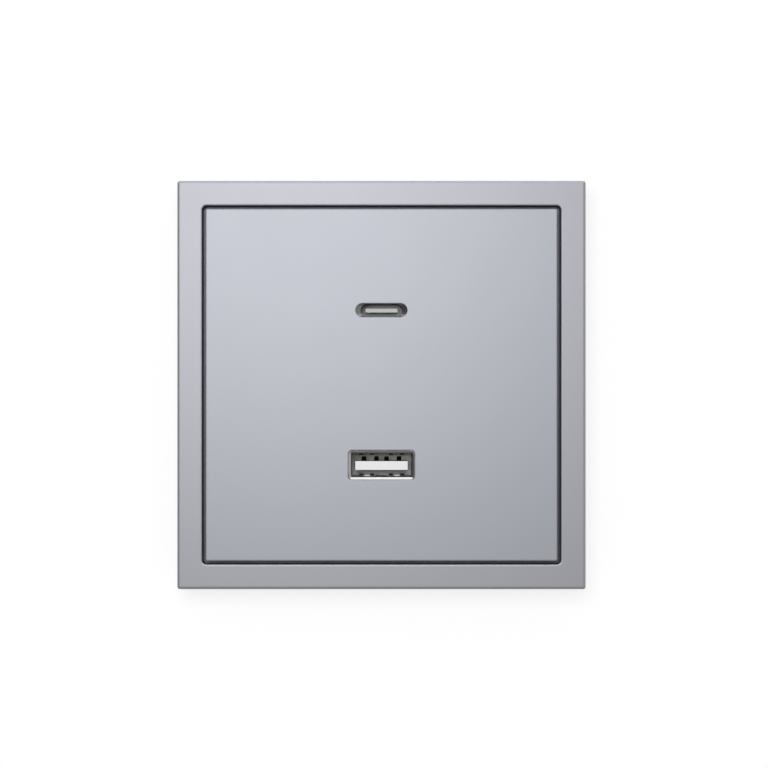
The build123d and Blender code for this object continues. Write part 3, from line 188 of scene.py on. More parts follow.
wall_paint = bpy.data.materials.new("wall_paint")
wall_paint.use_nodes = True
tree = wall_paint.node_tree
tree.nodes.clear()
glow = add(tree, "Emission", {"Color": (WALL_GLOW, WALL_GLOW, WALL_GLOW, 1), "Strength": seen_rays(tree)})
chalk = add(tree, "BsdfDiffuse", {"Color": (WALL_GREY, WALL_GREY, WALL_GREY, 1)})
front = add(tree, "AddShader", {0: glow.outputs[0], 1: chalk.outputs[0]})
behind = add(tree, "NewGeometry").outputs["Backfacing"]
clear = add(tree, "BsdfTransparent")
either = add(tree, "MixShader", {0: behind, 1: front.outputs[0], 2: clear.outputs[0]})
add(tree, "OutputMaterial", {"Surface": either.outputs[0]})
wall_mesh.materials.append(wall_paint)
wall_facing = [round(v, 1) for v in wall_mesh.polygons[0].normal]
print("wall faces", len(wall_mesh.polygons), "facing", wall_facing)

# %% [markdown]
# ## The light
#
# The face is brightest at its upper left and falls off towards its lower right. A sun would light it
# evenly, so the main lamp is a soft box near the object, above and left of the camera. Two weaker
# lamps stand behind the wall for the back. The world is white to the camera and to reflections and
# lends a little even light.

# %% World
WORLD_LIGHT = 0.5

world = bpy.data.worlds.new("studio")
scene.world = world
world.use_nodes = True
tree = world.node_tree
tree.nodes.clear()
even = add(tree, "Background", {"Color": (1, 1, 1, 1), "Strength": WORLD_LIGHT})
white = add(tree, "Background", {"Color": (1, 1, 1, 1), "Strength": 1.0})
sky = add(tree, "MixShader", {0: seen_rays(tree), 1: even.outputs[0], 2: white.outputs[0]})
add(tree, "OutputWorld", {"Surface": sky.outputs[0]})
print("world light", WORLD_LIGHT)

# %% Lamps
BACK_AIM = (0, 0.015, 0)
LAMPS = {
    "lamp_main": {"place": (-0.045, -0.47, 0.085), "aim": (0, face_y, 0), "side": 0.18, "watts": 0.97},
    "lamp_back_left": {"place": (-0.30, 0.45, 0.40), "aim": BACK_AIM, "side": 0.60, "watts": 1.8},
    "lamp_back_right": {"place": (0.35, 0.45, 0.20), "aim": BACK_AIM, "side": 0.60, "watts": 1.0},
}


def soft_box(name, place, aim, side, watts):
    """A square lamp at a place, turned to what it lights, and unseen by the camera itself."""
    data = bpy.data.lights.new(name, "AREA")
    data.size = side
    data.energy = watts
    lamp = bpy.data.objects.new(name, data)
    lamp.location = place
    lamp.rotation_euler = (Vector(aim) - Vector(place)).to_track_quat("-Z", "Y").to_euler()
    lamp.visible_camera = False
    scene.collection.objects.link(lamp)


for lamp_name, lamp_values in LAMPS.items():
    soft_box(lamp_name, **lamp_values)

# %% [markdown]
# ## Cards round the camera
#
# Satin metal shows what stands round it. Photographers of metal put cards round the lens: dark ones
# draw a thin dark line along a rounded edge and shade the mouths of the ports, and a bright one above
# lights the upper edge and the lower lip of a port. More lamps could do this too, but they would also
# light the wall. Each card has its own grey. Only reflections see the cards, so they throw no shadow
# and show in no picture.

# %% Cards
CARD_REACH = 0.55
CARD_FRONT = -0.012
CARD_BACK = -0.60
near, far = CARD_FRONT, CARD_BACK
CARDS = {
    "card_left": ([(-1, near, -1), (-1, far, -1), (-1, far, 1), (-1, near, 1)], 0.02),
    "card_right": ([(1, near, -1), (1, far, -1), (1, far, 1), (1, near, 1)], 0.75),
    "card_below": ([(-1, near, -1), (1, near, -1), (1, far, -1), (-1, far, -1)], 0.22),
    "card_above": ([(-1, near, 1), (1, near, 1), (1, far, 1), (-1, far, 1)], 2.4),
    "card_behind": ([(-1, far, -1), (1, far, -1), (1, far, 1), (-1, far, 1)], 0.22),
}


def card(name, corners, grey):
    """A flat card of one grey, seen by reflections alone."""
    mesh = bpy.data.meshes.new(name)
    mesh.from_pydata([(x * CARD_REACH, y, z * CARD_REACH) for x, y, z in corners], [], [(0, 1, 2, 3)])
    sheet = bpy.data.objects.new(name, mesh)
    scene.collection.objects.link(sheet)
    sheet.visible_camera = False
    sheet.visible_diffuse = False
    sheet.visible_shadow = False
    sheet.visible_transmission = False
    cloth = bpy.data.materials.new(name)
    cloth.use_nodes = True
    cloth.node_tree.nodes.clear()
    shade = add(cloth.node_tree, "Emission", {"Color": (grey, grey, grey, 1), "Strength": 1.0})
    add(cloth.node_tree, "OutputMaterial", {"Surface": shade.outputs[0]})
    mesh.materials.append(cloth)


for card_name, (card_corners, card_grey) in CARDS.items():
    card(card_name, card_corners, card_grey)

# %% [markdown]
# ## Effects that many finishes share
#
# Blasted grain, rubbed and eased edges, shaded crevices, rolling streaks and the bloom of zinc turn up
# on more than one piece. They could be drawn anew in each finish. Instead each is a node group, built
# once and given its own sizes in each finish, so that a change is made in one place. A group puts out
# masks, heights or a normal. Sizes are in metres and are read from the piece's own coordinates, so an
# effect stays on its piece when the piece moves.

# %% How a group is made and placed
NOISE_LOW = 0.3
NOISE_HIGH = 0.7


def new_effect(name, inputs, outputs):
    """A shader node group with inputs, given with their usual values, and numbers or a normal as outputs."""
    group = bpy.data.node_groups.new(name, "ShaderNodeTree")
    for label, usual in inputs.items():
        kind = "NodeSocketVector" if isinstance(usual, tuple) else "NodeSocketFloat"
        socket = group.interface.new_socket(label, in_out="INPUT", socket_type=kind)
        socket.default_value = usual
    for label in outputs:
        kind = "NodeSocketVector" if label == "Normal" else "NodeSocketFloat"
        group.interface.new_socket(label, in_out="OUTPUT", socket_type=kind)
    given = group.nodes.new("NodeGroupInput").outputs
    result = group.nodes.new("NodeGroupOutput").inputs
    return group, given, result


def effect(tree, name, **values):
    """Places a group in a finish with its own values, and returns its outputs."""
    placed = tree.nodes.new("ShaderNodeGroup")
    placed.node_tree = bpy.data.node_groups[name]
    for label, value in values.items():
        placed.inputs[label].default_value = value
    return placed.outputs


def own_coordinates(tree):
    """A piece's own coordinates in metres, which move with it."""
    return add(tree, "TexCoord").outputs["Object"]


def per_metre(tree, size):
    """The noise scale that gives spots of a size in metres."""
    return sums(tree, "DIVIDE", 1.0, size)


def speckle(tree, coordinates, scale, detail=2.0):
    """Plain noise of a given scale, from 0 to 1."""
    noise = {"Vector": coordinates, "Scale": scale, "Detail": detail, "Roughness": 0.55}
    return add(tree, "TexNoise", noise).outputs["Fac"]


def spread(tree, noise):
    """Noise stretched over the whole range from 0 to 1, because it seldom leaves the middle of it."""
    return ramp(tree, noise, NOISE_LOW, NOISE_HIGH)


print("effect helpers ready")

# %% [markdown]
# ### Grain
#
# Blasting pits a metal, and a spark-worn mould leaves the same pits on plastic. They are far too small
# to model, so a fine noise is their height for a bump. A coarse one is the slight mottle of a surface
# that is never quite one colour.

# %% Grain group
group, given, result = new_effect("grain", {"Size": 0.0002, "Mottle": 0.01}, ["Height", "Mottle"])
own = own_coordinates(group)
fine = speckle(group, own, per_metre(group, given["Size"]))
coarse = speckle(group, own, per_metre(group, given["Mottle"]), detail=4.0)
group.links.new(fine, result["Height"])
group.links.new(spread(group, coarse), result["Mottle"])
print("group", group.name, len(group.nodes))

# %% [markdown]
# ### Rubbed edges
#
# Hands and tools polish an edge first. Edges could be painted by hand, piece by piece. The bevel node
# finds them all: it gives the normal that a rounder edge would have, and where that departs from the
# real normal there is an edge. A noise breaks the rubbing into patches.

# %% Rubbed edge group
NORMALS_AGREE = 0.98
NORMALS_PART = 0.72
PATCH_FULL = 0.65

group, given, result = new_effect("rubbed_edge", {"Width": 0.0004, "Patch": 0.003}, ["Rub"])
round_normal = add(group, "Bevel", {"Radius": given["Width"]}, samples=6).outputs[0]
real_normal = add(group, "NewGeometry").outputs["Normal"]
normals = {0: round_normal, 1: real_normal}
agree = add(group, "VectorMath", normals, operation="DOT_PRODUCT").outputs["Value"]
edge = ramp(group, agree, NORMALS_AGREE, NORMALS_PART)
blotches = speckle(group, own_coordinates(group), per_metre(group, given["Patch"]), detail=4.0)
patches = ramp(group, blotches, NOISE_LOW, PATCH_FULL)
group.links.new(sums(group, "MULTIPLY", edge, patches, clamp=True), result["Rub"])
print("group", group.name, len(group.nodes))

# %% [markdown]
# ### Eased edges
#
# Blasting and sealing take the sharpness off an edge, over about half a millimetre. A bevel modifier
# would cut new faces in the solids. The bevel node leaves them as they are and turns only the normal
# across that width, so light runs round the edge as it does on the real one.

# %% Eased edge group
group, given, result = new_effect("eased_edge", {"Radius": 0.0005}, ["Normal"])
eased = add(group, "Bevel", {"Radius": given["Radius"]}, samples=12).outputs[0]
group.links.new(eased, result["Normal"])
print("group", group.name, len(group.nodes))

# %% [markdown]
# ### Shaded crevices
#
# Dust and grease stay where no cloth reaches, and little light comes back out of a gap. The finishes
# paint that shade, and on plastic dust as well, into their colour with this mask. The ambient
# occlusion node measures how closed in a point is, within a given reach, so no mask has to be painted.

# %% Crevice group
OPEN_SPACE = 0.85
CLOSED_IN = 0.15

group, given, result = new_effect("crevice", {"Reach": 0.002}, ["Shade"])
openness = add(group, "AmbientOcclusion", {"Distance": given["Reach"]}, samples=8).outputs["AO"]
group.links.new(ramp(group, openness, OPEN_SPACE, CLOSED_IN), result["Shade"])
print("group", group.name, len(group.nodes))

# %% [markdown]
# ### Rolling streaks
#
# Sheet metal keeps fine lines along the way it was rolled. A wave texture would draw them too evenly.
# A noise that is long one way and narrow in the others looks drawn out, and the input gives the three
# sizes.

# %% Streak group
group, given, result = new_effect("streaks", {"Sizes": (0.02, 0.0002, 0.0002)}, ["Streak"])
stretch = {0: own_coordinates(group), 1: given["Sizes"]}
drawn_out = add(group, "VectorMath", stretch, operation="DIVIDE").outputs["Vector"]
lines = speckle(group, drawn_out, scale=1.0, detail=3.0)
group.links.new(spread(group, lines), result["Streak"])
print("group", group.name, len(group.nodes))

# %% [markdown]
# ### Bloom of zinc
#
# A zinc coat is cloudy: it takes up its passivation unevenly, in soft patches a few millimetres wide.
# Noise alone has no patches and cells alone are too crisp, so the group multiplies the two.

# %% Bloom group
BLOOM_THIN = 0.1
BLOOM_THICK = 0.4

group, given, result = new_effect("zinc_bloom", {"Patch": 0.004}, ["Bloom"])
own = own_coordinates(group)
scale = per_metre(group, given["Patch"])
cells = add(group, "TexVoronoi", {"Vector": own, "Scale": scale}, feature="SMOOTH_F1").outputs["Distance"]
cloud = speckle(group, own, scale, detail=5.0)
bloom = ramp(group, sums(group, "MULTIPLY", cells, cloud), BLOOM_THIN, BLOOM_THICK)
group.links.new(bloom, result["Bloom"])
print("group", group.name, len(group.nodes))

# %% [markdown]
# ## Finishes
#
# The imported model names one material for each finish, and each of its nodes has that material in its
# slot. New materials could be handed to each node. Drawing a new tree in the named material is
# simpler, because all the nodes of a finish then have it at once.

# %% How a finish starts
def tone(colour, factor):
    """A colour made lighter or darker."""
    return tuple(v * factor for v in colour)


def shades(tree, mask, colour, low, high):
    """A colour that goes from low to high times itself as a mask goes from 0 to 1."""
    return mixed(tree, mask, tone(colour, low), tone(colour, high))


def new_finish(slot, roughness, metallic=0.0):
    """Clears the slot's material and gives it a shader with its even values set on its own sockets."""
    tree = bpy.data.materials[slot].node_tree
    tree.nodes.clear()
    shader = add(tree, "BsdfPrincipled", {"Roughness": roughness, "Metallic": metallic})
    add(tree, "OutputMaterial", {"Surface": shader.outputs[0]})
    return tree, shader


def give_colour(tree, shader, skin):
    """Links a colour that changes over the surface."""
    tree.links.new(skin, shader.inputs["Base Color"])


def vary_roughness(tree, shader, mask, low, high):
    """Spreads the roughness from low to high as a mask goes from 0 to 1."""
    tree.links.new(ramp(tree, mask, 0.0, 1.0, start=low, end=high), shader.inputs["Roughness"])


def raise_grain(tree, shader, height, depth):
    """Lets a height from 0 to 1 stand out of the surface by a depth in metres, and returns the bump."""
    bump = add(tree, "Bump", {"Height": height, "Distance": depth, "Strength": 1.0})
    tree.links.new(bump.outputs[0], shader.inputs["Normal"])
    return bump


print("finishes to make", len({o.data.materials[0].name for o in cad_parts.values()}))

# %% Rubbed edges and shaded corners of a finish
def rub_edges(tree, skin, bare, share, width, patch):
    """Mixes a share of a bare colour into the skin along rubbed edges."""
    rub = effect(tree, "rubbed_edge", Width=width, Patch=patch)["Rub"]
    return mixed(tree, sums(tree, "MULTIPLY", rub, share), skin, bare)


def shade_corners(tree, skin, dark, share, reach):
    """Mixes a share of a darker colour into the skin where it is closed in, as painted shade."""
    shade = effect(tree, "crevice", Reach=reach)["Shade"]
    return mixed(tree, sums(tree, "MULTIPLY", shade, share), skin, dark)


print("wear helpers ready")

# %% [markdown]
# ### Satin aluminium of the frame and the plate
#
# The cover is aluminium in colour, evenly blasted and sealed, so it shows soft gradients and no mirror
# image. Plain metal would be too dark beside its highlight and plain paint too flat, so over half of
# the light goes through the metal's own reflection and the rest is scattered by the seal. The gap
# round the plate is nearly black, because little light comes back out of it, and that shade is painted
# into the metal's colour where the gap closes it in.

# %% Frame and plate
SATIN_ROUGHNESS = 0.47
SATIN_ROUGHNESS_CHANGE = 0.005
SATIN_METALLIC = 0.6
GAP_SHADE_COLOUR = (0.012, 0.014, 0.026)
GAP_DARKENING = 0.7
GAP_REACH = 0.003
GAP_STARTS = 0.35
GAP_FULL = 0.8


def satin_aluminium(slot, colour, easing):
    """Blasted and sealed metal, with shade painted near black in the gap and edges eased over a width in
    metres.
    """
    tree, shader = new_finish(slot, SATIN_ROUGHNESS, SATIN_METALLIC)
    grain = effect(tree, "grain", Size=0.00012, Mottle=0.012)
    skin = shades(tree, grain["Mottle"], colour, low=0.994, high=1.006)
    skin = rub_edges(tree, skin, tone(colour, 1.1), share=0.1, width=0.0002, patch=0.004)
    # Painted shade: the metal's colour is mixed towards near black where the gap closes it in.
    shade = effect(tree, "crevice", Reach=GAP_REACH)["Shade"]
    painted_gap_shade = ramp(tree, shade, GAP_STARTS, GAP_FULL, start=0.0, end=GAP_DARKENING)
    give_colour(tree, shader, mixed(tree, painted_gap_shade, skin, GAP_SHADE_COLOUR))
    smoother = SATIN_ROUGHNESS - SATIN_ROUGHNESS_CHANGE
    rougher = SATIN_ROUGHNESS + SATIN_ROUGHNESS_CHANGE
    vary_roughness(tree, shader, grain["Mottle"], smoother, rougher)
    bump = raise_grain(tree, shader, grain["Height"], depth=0.0000015)
    tree.links.new(effect(tree, "eased_edge", Radius=easing)["Normal"], bump.inputs["Normal"])


satin_aluminium("frame_metal", (0.340, 0.341, 0.374), easing=0.0005)
satin_aluminium("plate_metal", (0.334, 0.346, 0.378), easing=0.0003)
print("satin aluminium on the frame and the plate")

# %% [markdown]
# ### Moulded plastic
#
# The carrier, both housings, the terminals, the buttons and the ports' tongues are injection moulded.
# The mould's texture shows as a fine grain, the plastic flows a little unevenly, its edges are rubbed
# paler and its corners are darker, with dust and painted shade. Pictures of plastic would have to be
# unwrapped on each piece, and noise in a piece's own coordinates needs no unwrapping. One tree serves
# for all, with its own colour.

# %% Moulded pieces
GREY_DUST_AND_SHADE = (0.20, 0.19, 0.18)
BLACK_DUST_AND_SHADE = (0.01, 0.01, 0.014)
RUBBED_TO_WHITE = 0.25
PORT_GRAIN_SIZE = 0.0002
PORT_GRAIN_DEPTH = 0.000002


def moulded(slot, colour, roughness, size=0.0003, depth=0.000004, dust_and_shade=GREY_DUST_AND_SHADE, gloss=0.5):
    """Plastic from a textured mould, with grain of a size and depth in metres."""
    tree, shader = new_finish(slot, roughness)
    shader.inputs["Specular IOR Level"].default_value = gloss
    grain = effect(tree, "grain", Size=size, Mottle=0.009)
    skin = shades(tree, grain["Mottle"], colour, low=0.985, high=1.015)
    paler = tuple(v * (1 - RUBBED_TO_WHITE) + RUBBED_TO_WHITE for v in colour)
    skin = rub_edges(tree, skin, paler, share=0.12, width=0.0003, patch=0.0025)
    # Dust and painted shade: corners are mixed towards a darker colour where they are closed in.
    give_colour(tree, shader, shade_corners(tree, skin, dust_and_shade, share=0.25, reach=0.0025))
    vary_roughness(tree, shader, grain["Mottle"], roughness - 0.05, roughness + 0.05)
    raise_grain(tree, shader, grain["Height"], depth)


moulded("carrier_plastic", (0.016, 0.017, 0.023), roughness=0.6, dust_and_shade=BLACK_DUST_AND_SHADE, gloss=0.15)
moulded("front_plastic", (0.045, 0.046, 0.050), roughness=0.5)
moulded("rear_plastic", (0.56, 0.57, 0.57), roughness=0.5)
moulded("terminal_plastic", (0.70, 0.70, 0.68), roughness=0.42)
moulded("button_orange", (0.80, 0.22, 0.02), roughness=0.38)
moulded("port_white", (0.84, 0.84, 0.84), roughness=0.35, size=PORT_GRAIN_SIZE, depth=PORT_GRAIN_DEPTH)
moulded("port_grey", (0.56, 0.57, 0.57), roughness=0.4, size=PORT_GRAIN_SIZE, depth=PORT_GRAIN_DEPTH)
moulded("bobbin_plastic", (0.03, 0.03, 0.03), roughness=0.45)
moulded("chip_resin", (0.03, 0.03, 0.032), roughness=0.6, size=0.00015)
moulded("film_capacitor", (0.60, 0.42, 0.06), roughness=0.4)
moulded("ferrite", (0.055, 0.055, 0.06), roughness=0.7, size=0.00012, depth=0.00001)
print("moulded pieces done")

# %% [markdown]
# ### Zinc-plated steel
#
# The ring, the claws and the screws are steel with a thin coat of zinc. A plain metal of one colour
# would look like chrome. So the sheet's rolling lines show through the coat, the coat blooms in
# patches, the rubbed edges are brighter, and painted shade darkens the coat where a piece is closed in.

# %% Plated steel
def zinc_steel(slot, colour, roughness, sizes):
    """Plated steel, with rolling lines of three sizes in metres under a cloudy coat."""
    tree, shader = new_finish(slot, roughness, metallic=1.0)
    bloom = effect(tree, "zinc_bloom", Patch=0.0022)["Bloom"]
    skin = shades(tree, bloom, colour, low=0.88, high=1.0)
    skin = rub_edges(tree, skin, tone(colour, 1.2), share=0.5, width=0.0003, patch=0.002)
    # Painted shade: the coat is mixed towards a darker tone where the piece is closed in.
    give_colour(tree, shader, shade_corners(tree, skin, tone(colour, 0.3), share=0.5, reach=0.002))
    vary_roughness(tree, shader, bloom, roughness + 0.1, roughness - 0.06)
    raise_grain(tree, shader, effect(tree, "streaks", Sizes=sizes)["Streak"], depth=0.000003)


zinc_steel("ring_steel", (0.62, 0.63, 0.62), roughness=0.36, sizes=(0.02, 0.0003, 0.0003))
zinc_steel("claw_steel", (0.58, 0.58, 0.57), roughness=0.38, sizes=(0.0004, 0.015, 0.0004))
zinc_steel("screw_steel", (0.60, 0.60, 0.57), roughness=0.30, sizes=(0.0003, 0.0003, 0.0003))
print("zinc finishes done")

# %% [markdown]
# ### Bare and plated sheet
#
# The ports' shells are nickel plated, their contacts gold plated, the busbars brass and the clamp
# springs stainless strip. All are pressed from rolled sheet, so one tree serves with its own colour,
# and painted shade darkens each where it is closed in. The upper port's shell is drawn in one piece
# and the lower port's is folded. The upper one gets a darker copy of the steel's colour, as painted
# shade for the dark inside of its mouth. Both have one slot, so the height of a point in the part tells
# the two shells apart.

# %% Pressed sheet
def pressed_sheet(slot, colour, roughness, sizes, upper=1.0):
    """Rolled and plated sheet. Above the part's middle its colour is multiplied by the last value, as
    painted shade.
    """
    tree, shader = new_finish(slot, roughness, metallic=1.0)
    streak = effect(tree, "streaks", Sizes=sizes)["Streak"]
    skin = shades(tree, streak, colour, low=0.9, high=1.04)
    # Painted shade: above the part's middle, the upper port's shell gets a darker copy of the colour.
    if upper != 1.0:
        height = add(tree, "SeparateXYZ", {0: own_coordinates(tree)}).outputs["Z"]
        skin = mixed(tree, sums(tree, "GREATER_THAN", height, 0.0), skin, tone(colour, upper))
    # Painted shade: the sheet is mixed towards a much darker tone where it is closed in.
    give_colour(tree, shader, shade_corners(tree, skin, tone(colour, 0.15), share=0.8, reach=0.0025))
    vary_roughness(tree, shader, streak, roughness + 0.05, roughness - 0.05)
    raise_grain(tree, shader, streak, depth=0.000001)


pressed_sheet("port_steel", (0.46, 0.45, 0.46), roughness=0.36, sizes=(0.0002, 0.008, 0.0002), upper=0.75)
# The contacts' colour is far darker than bare gold: painted shade for their place deep in the port.
pressed_sheet("contact_gold", (0.20, 0.15, 0.08), roughness=0.36, sizes=(0.0001, 0.004, 0.0001))
pressed_sheet("busbar_brass", (0.70, 0.50, 0.20), roughness=0.35, sizes=(0.008, 0.0002, 0.0002))
pressed_sheet("spring_steel", (0.55, 0.55, 0.54), roughness=0.30, sizes=(0.0002, 0.0002, 0.008))
print("pressed sheet done")

# %% [markdown]
# ## Inside the housing
#
# The charger's own parts are shut in, but each keeps its usual finish, so that the model can be opened.
# Every track and turn of wire could be modelled. Nobody sees them here, so patterns in the materials
# stand for them.
#
# ### Board and windings
#
# The board is green over a glass weave, with broad areas of copper under the lacquer. The transformer
# is wrapped in tape, and the choke is wound with enamelled wire.

# %% Board
WEAVE_PITCH = 0.0005
WEAVE_SHOWS = 0.15
WEAVE_RISE = 0.2
COPPER_AREA = 0.004
COPPER_EDGE = (0.48, 0.52)
LACQUER = (0.012, 0.085, 0.035)
LACQUER_ON_COPPER = (0.03, 0.17, 0.07)
GLASS_FIBRE = (0.05, 0.2, 0.08)

tree, shader = new_finish("board_laminate", roughness=0.35)
own = own_coordinates(tree)
weave = add(tree, "TexChecker", {"Vector": own, "Scale": 1 / WEAVE_PITCH}).outputs["Fac"]
copper_fill = ramp(tree, speckle(tree, own, 1 / COPPER_AREA, detail=1.0), *COPPER_EDGE)
lacquer = mixed(tree, copper_fill, LACQUER, LACQUER_ON_COPPER)
fibre_mask = sums(tree, "MULTIPLY", weave, WEAVE_SHOWS)
give_colour(tree, shader, mixed(tree, fibre_mask, lacquer, GLASS_FIBRE))
relief = sums(tree, "ADD", copper_fill, sums(tree, "MULTIPLY", weave, WEAVE_RISE))
raise_grain(tree, shader, relief, depth=0.00002)
print("board nodes", len(tree.nodes))

# %% Windings
WAVE_PER_PITCH = 0.314


def wound(slot, colour, pitch, depth, roughness, metallic):
    """Turns of wire or tape that lie side by side along the winding's axis, out of the wall."""
    tree, shader = new_finish(slot, roughness, metallic)
    rows = {"Vector": own_coordinates(tree), "Scale": WAVE_PER_PITCH / pitch}
    uneven = {"Distortion": 0.4, "Detail": 1.0}
    turns = add(tree, "TexWave", {**rows, **uneven}, bands_direction="Y").outputs["Fac"]
    give_colour(tree, shader, shades(tree, turns, colour, low=0.7, high=1.05))
    raise_grain(tree, shader, turns, depth)


wound("copper_wire", (0.60, 0.24, 0.09), pitch=0.0004, depth=0.0001, roughness=0.3, metallic=1.0)
wound("winding_tape", (0.72, 0.52, 0.08), pitch=0.003, depth=0.00003, roughness=0.35, metallic=0.0)
print("windings done")

# %% [markdown]
# ### Capacitors, varistor and fuse
#
# A capacitor is an aluminium can in a shrunk sleeve, which leaves its top bare. The varistor is dipped
# in lacquer, and the fuse is a ceramic tube with a metal cap at each end. Each of them is one solid, so
# masks part the metal from the rest: by which way a face looks on the cans, and by the distance from
# the middle on the fuse.

# %% Capacitors and varistor
TOP_STARTS = 0.85
TOP_FULL = 0.9
SLEEVE_BLACKS = ((0.018, 0.022, 0.035), (0.028, 0.033, 0.05))
BARE_CAN = (0.7, 0.7, 0.7)
DIPPED_BLUES = ((0.03, 0.09, 0.30), (0.05, 0.14, 0.40))

tree, shader = new_finish("capacitor_sleeve", roughness=0.25)
facing = add(tree, "SeparateXYZ", {0: add(tree, "NewGeometry").outputs["Normal"]}).outputs["Y"]
bare_top = ramp(tree, facing, TOP_STARTS, TOP_FULL)
grain = effect(tree, "grain", Size=0.0008, Mottle=0.006)
sleeve = mixed(tree, grain["Mottle"], *SLEEVE_BLACKS)
give_colour(tree, shader, mixed(tree, bare_top, sleeve, BARE_CAN))
tree.links.new(bare_top, shader.inputs["Metallic"])
raise_grain(tree, shader, grain["Height"], depth=0.000006)

tree, shader = new_finish("varistor_coat", roughness=0.3)
grain = effect(tree, "grain", Size=0.0012, Mottle=0.003)
give_colour(tree, shader, mixed(tree, grain["Mottle"], *DIPPED_BLUES))
raise_grain(tree, shader, grain["Height"], depth=0.00004)
print("capacitors and varistor done")

# %% Fuse
FUSE_CAP_LENGTH = 0.0015
CERAMIC_WHITES = ((0.72, 0.70, 0.64), (0.80, 0.78, 0.73))
TINNED_CAP = (0.66, 0.65, 0.62)

fuse_low, fuse_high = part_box("fuse")
fuse_axis = max(range(3), key=lambda i: fuse_high[i] - fuse_low[i])
fuse_middle = (fuse_low[fuse_axis] + fuse_high[fuse_axis]) / 2
fuse_half = (fuse_high[fuse_axis] - fuse_low[fuse_axis]) / 2
tree, shader = new_finish("fuse_body", roughness=0.3)
along = add(tree, "SeparateXYZ", {0: own_coordinates(tree)}).outputs[fuse_axis]
from_middle = sums(tree, "ABSOLUTE", sums(tree, "SUBTRACT", along, fuse_middle))
cap = sums(tree, "GREATER_THAN", from_middle, fuse_half - FUSE_CAP_LENGTH)
grain = effect(tree, "grain", Size=0.0003, Mottle=0.002)
ceramic = mixed(tree, grain["Mottle"], *CERAMIC_WHITES)
give_colour(tree, shader, mixed(tree, cap, ceramic, TINNED_CAP))
tree.links.new(cap, shader.inputs["Metallic"])
raise_grain(tree, shader, grain["Height"], depth=0.000003)
print("fuse axis", "XYZ"[fuse_axis])

# %% [markdown]
# ## The claw screws
#
# Each claw is drawn out by a machine screw that runs through its nut. The solid model has a plain shaft
# at the thread's outer size. A screw modifier could wind a thread from a profile, but its ends are hard
# to close. Here the shaft gets its thread as a mesh: rings of points down the axis, whose distance from
# it rises and falls along a helix. The head is turned in the same way, and a cross is cut in it with a
# boolean.

# %% Rows of a threaded screw
THREAD_PITCH = 0.0005
THREAD_DEPTH = 0.00028
THREAD_FLANK = 3.2
THREAD_ROOT_FLAT = 0.3
SHAFT_RADIUS = 0.0015
HEAD_HEIGHT = 0.0019
HEAD_ROUNDING = 0.00063
HEAD_STEP_DEGREES = 15
ROWS_PER_TURN = 8


def thread_height(turns):
    """The thread's height from root to crest, from 0 to 1, at a place along its helix."""
    t = turns % 1
    return min(max((0.5 - abs(t - 0.5)) * THREAD_FLANK - THREAD_ROOT_FLAT, 0.0), 1.0)


def screw_rows(length, head_radius):
    """Rows of (distance down from the head's top, radius or None for the thread)."""
    rows = []
    for degrees in range(0, 91, HEAD_STEP_DEGREES):
        a = math.radians(degrees)
        rows.append((HEAD_ROUNDING * (1 - math.cos(a)), head_radius - HEAD_ROUNDING * (1 - math.sin(a))))
    rows.append((HEAD_HEIGHT, head_radius))
    count = round((length - HEAD_HEIGHT) / THREAD_PITCH * ROWS_PER_TURN)
    for i in range(count + 1):
        rows.append((HEAD_HEIGHT + (length - HEAD_HEIGHT) * i / count, None))
    return rows


print("rows for 20 mm", len(screw_rows(0.020, 0.0026)))

# %% The driver's cross
CROSS_LENGTH = 0.0030
CROSS_WIDTH = 0.0009
CROSS_DEPTH = 0.0010
CROSS_OVERSHOOT = 0.0002
CROSS_TAPER = 0.72


def cut_cross(screw, top):
    """Cuts the driver's cross in a head, narrower towards its floor."""
    cutter_mesh = bpy.data.meshes.new("cross")
    made = bmesh.new()
    for across, upright in ((CROSS_LENGTH, CROSS_WIDTH), (CROSS_WIDTH, CROSS_LENGTH)):
        rims = []
        for depth, narrow in ((-CROSS_OVERSHOOT, 1.0), (CROSS_DEPTH, CROSS_TAPER)):
            a = across / 2 * narrow
            b = upright / 2 * narrow
            rims.append([made.verts.new(top + Vector((x * a, depth, z * b))) for x, z in corner_signs])
        made.faces.new(rims[0])
        made.faces.new(reversed(rims[1]))
        for i in range(4):
            j = (i + 1) % 4
            made.faces.new((rims[0][i], rims[0][j], rims[1][j], rims[1][i]))
    bmesh.ops.recalc_face_normals(made, faces=made.faces)
    made.to_mesh(cutter_mesh)
    made.free()
    cutter = bpy.data.objects.new("cross", cutter_mesh)
    scene.collection.objects.link(cutter)
    cut = screw.modifiers.new("cross", "BOOLEAN")
    cut.object = cutter
    cut.operation = "DIFFERENCE"
    cut.use_self = True
    bpy.context.view_layer.update()
    whole = bpy.data.meshes.new_from_object(screw.evaluated_get(bpy.context.evaluated_depsgraph_get()))
    screw.modifiers.clear()
    screw.data = whole
    bpy.data.objects.remove(cutter)


print("cross in mm", in_mm((CROSS_LENGTH, CROSS_WIDTH, CROSS_DEPTH)))

# %% Thread and head
AROUND = 32
TIP_CHAMFER = 0.0004
SHARP_DEGREES = 40


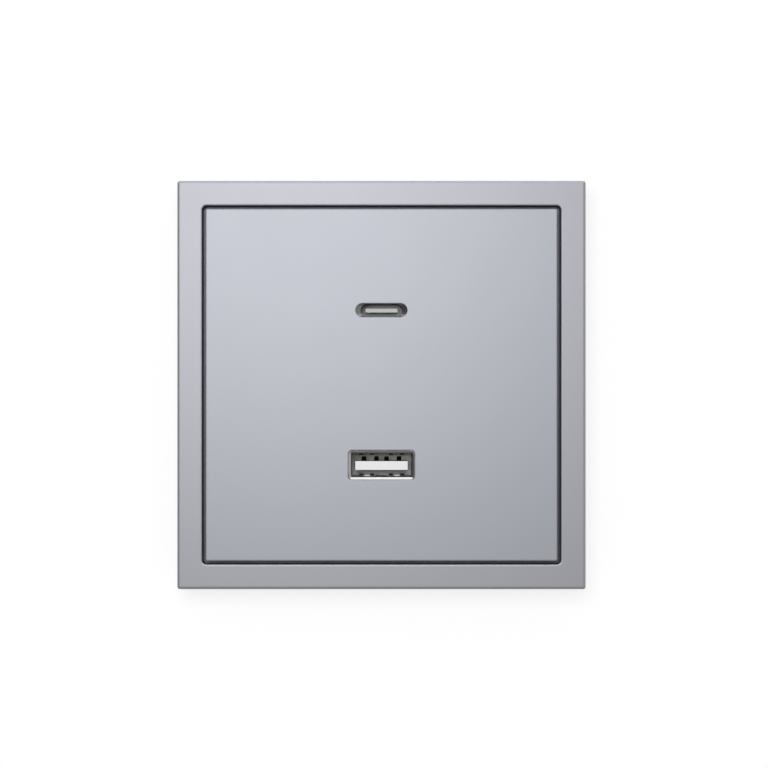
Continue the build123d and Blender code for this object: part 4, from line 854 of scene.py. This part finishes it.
def threaded_screw(name, node):
    """A screw in the place of a CAD node, its head towards the room and its tip into the wall."""
    low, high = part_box(node)
    length = high.y - low.y
    axis_x, axis_z = (low.x + high.x) / 2, (low.z + high.z) / 2
    made = bmesh.new()
    rings = []
    for down, radius in screw_rows(length, (high.x - low.x) / 2):
        ring = []
        for i in range(AROUND):
            angle = 2 * math.pi * i / AROUND
            r = radius
            if r is None:
                crest = min(SHAFT_RADIUS, SHAFT_RADIUS - TIP_CHAMFER + length - down)
                r = crest - THREAD_DEPTH * (1 - thread_height(down / THREAD_PITCH - i / AROUND))
            point = (axis_x + r * math.cos(angle), low.y + down, axis_z + r * math.sin(angle))
            ring.append(made.verts.new(point))
        rings.append(ring)
    for upper, lower in zip(rings, rings[1:]):
        for i in range(AROUND):
            j = (i + 1) % AROUND
            made.faces.new((upper[i], upper[j], lower[j], lower[i]))
    made.faces.new(rings[0])
    made.faces.new(reversed(rings[-1]))
    bmesh.ops.recalc_face_normals(made, faces=made.faces)
    mesh = bpy.data.meshes.new(name)
    made.to_mesh(mesh)
    made.free()
    screw = bpy.data.objects.new(name, mesh)
    scene.collection.objects.link(screw)
    cut_cross(screw, Vector((axis_x, low.y, axis_z)))
    for face in screw.data.polygons:
        face.use_smooth = True
    screw.data.set_sharp_from_angle(angle=math.radians(SHARP_DEGREES))
    screw.data.materials.clear()
    screw.data.materials.append(bpy.data.materials["screw_steel"])
    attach(screw, node)
    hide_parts(node)
    return screw


for side in ("left", "right"):
    screw = threaded_screw("threaded_screw_" + side, "claw_screw_" + side)
    print(screw.name, len(screw.data.polygons), "faces")

# %% [markdown]
# ## The clamp springs
#
# A leaf spring presses each wire on its busbar, and the release button pushes the spring's leg off the
# wire. A new strip could be bent along a curve, but the solid spring already has the right shape. So
# each spring is a copy of the solid one, with a mesh of its own, which rides with the insert.

for pole in ("live", "neutral"):
    node = "clamp_spring_" + pole
    leaf = bpy.data.objects.new("sprung_leaf_" + pole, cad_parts[node].data.copy())
    scene.collection.objects.link(leaf)
    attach(leaf, "insert")
    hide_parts(node)
    low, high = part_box(node)
    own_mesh(leaf)
    print(leaf.name, "size in mm", in_mm(high - low))
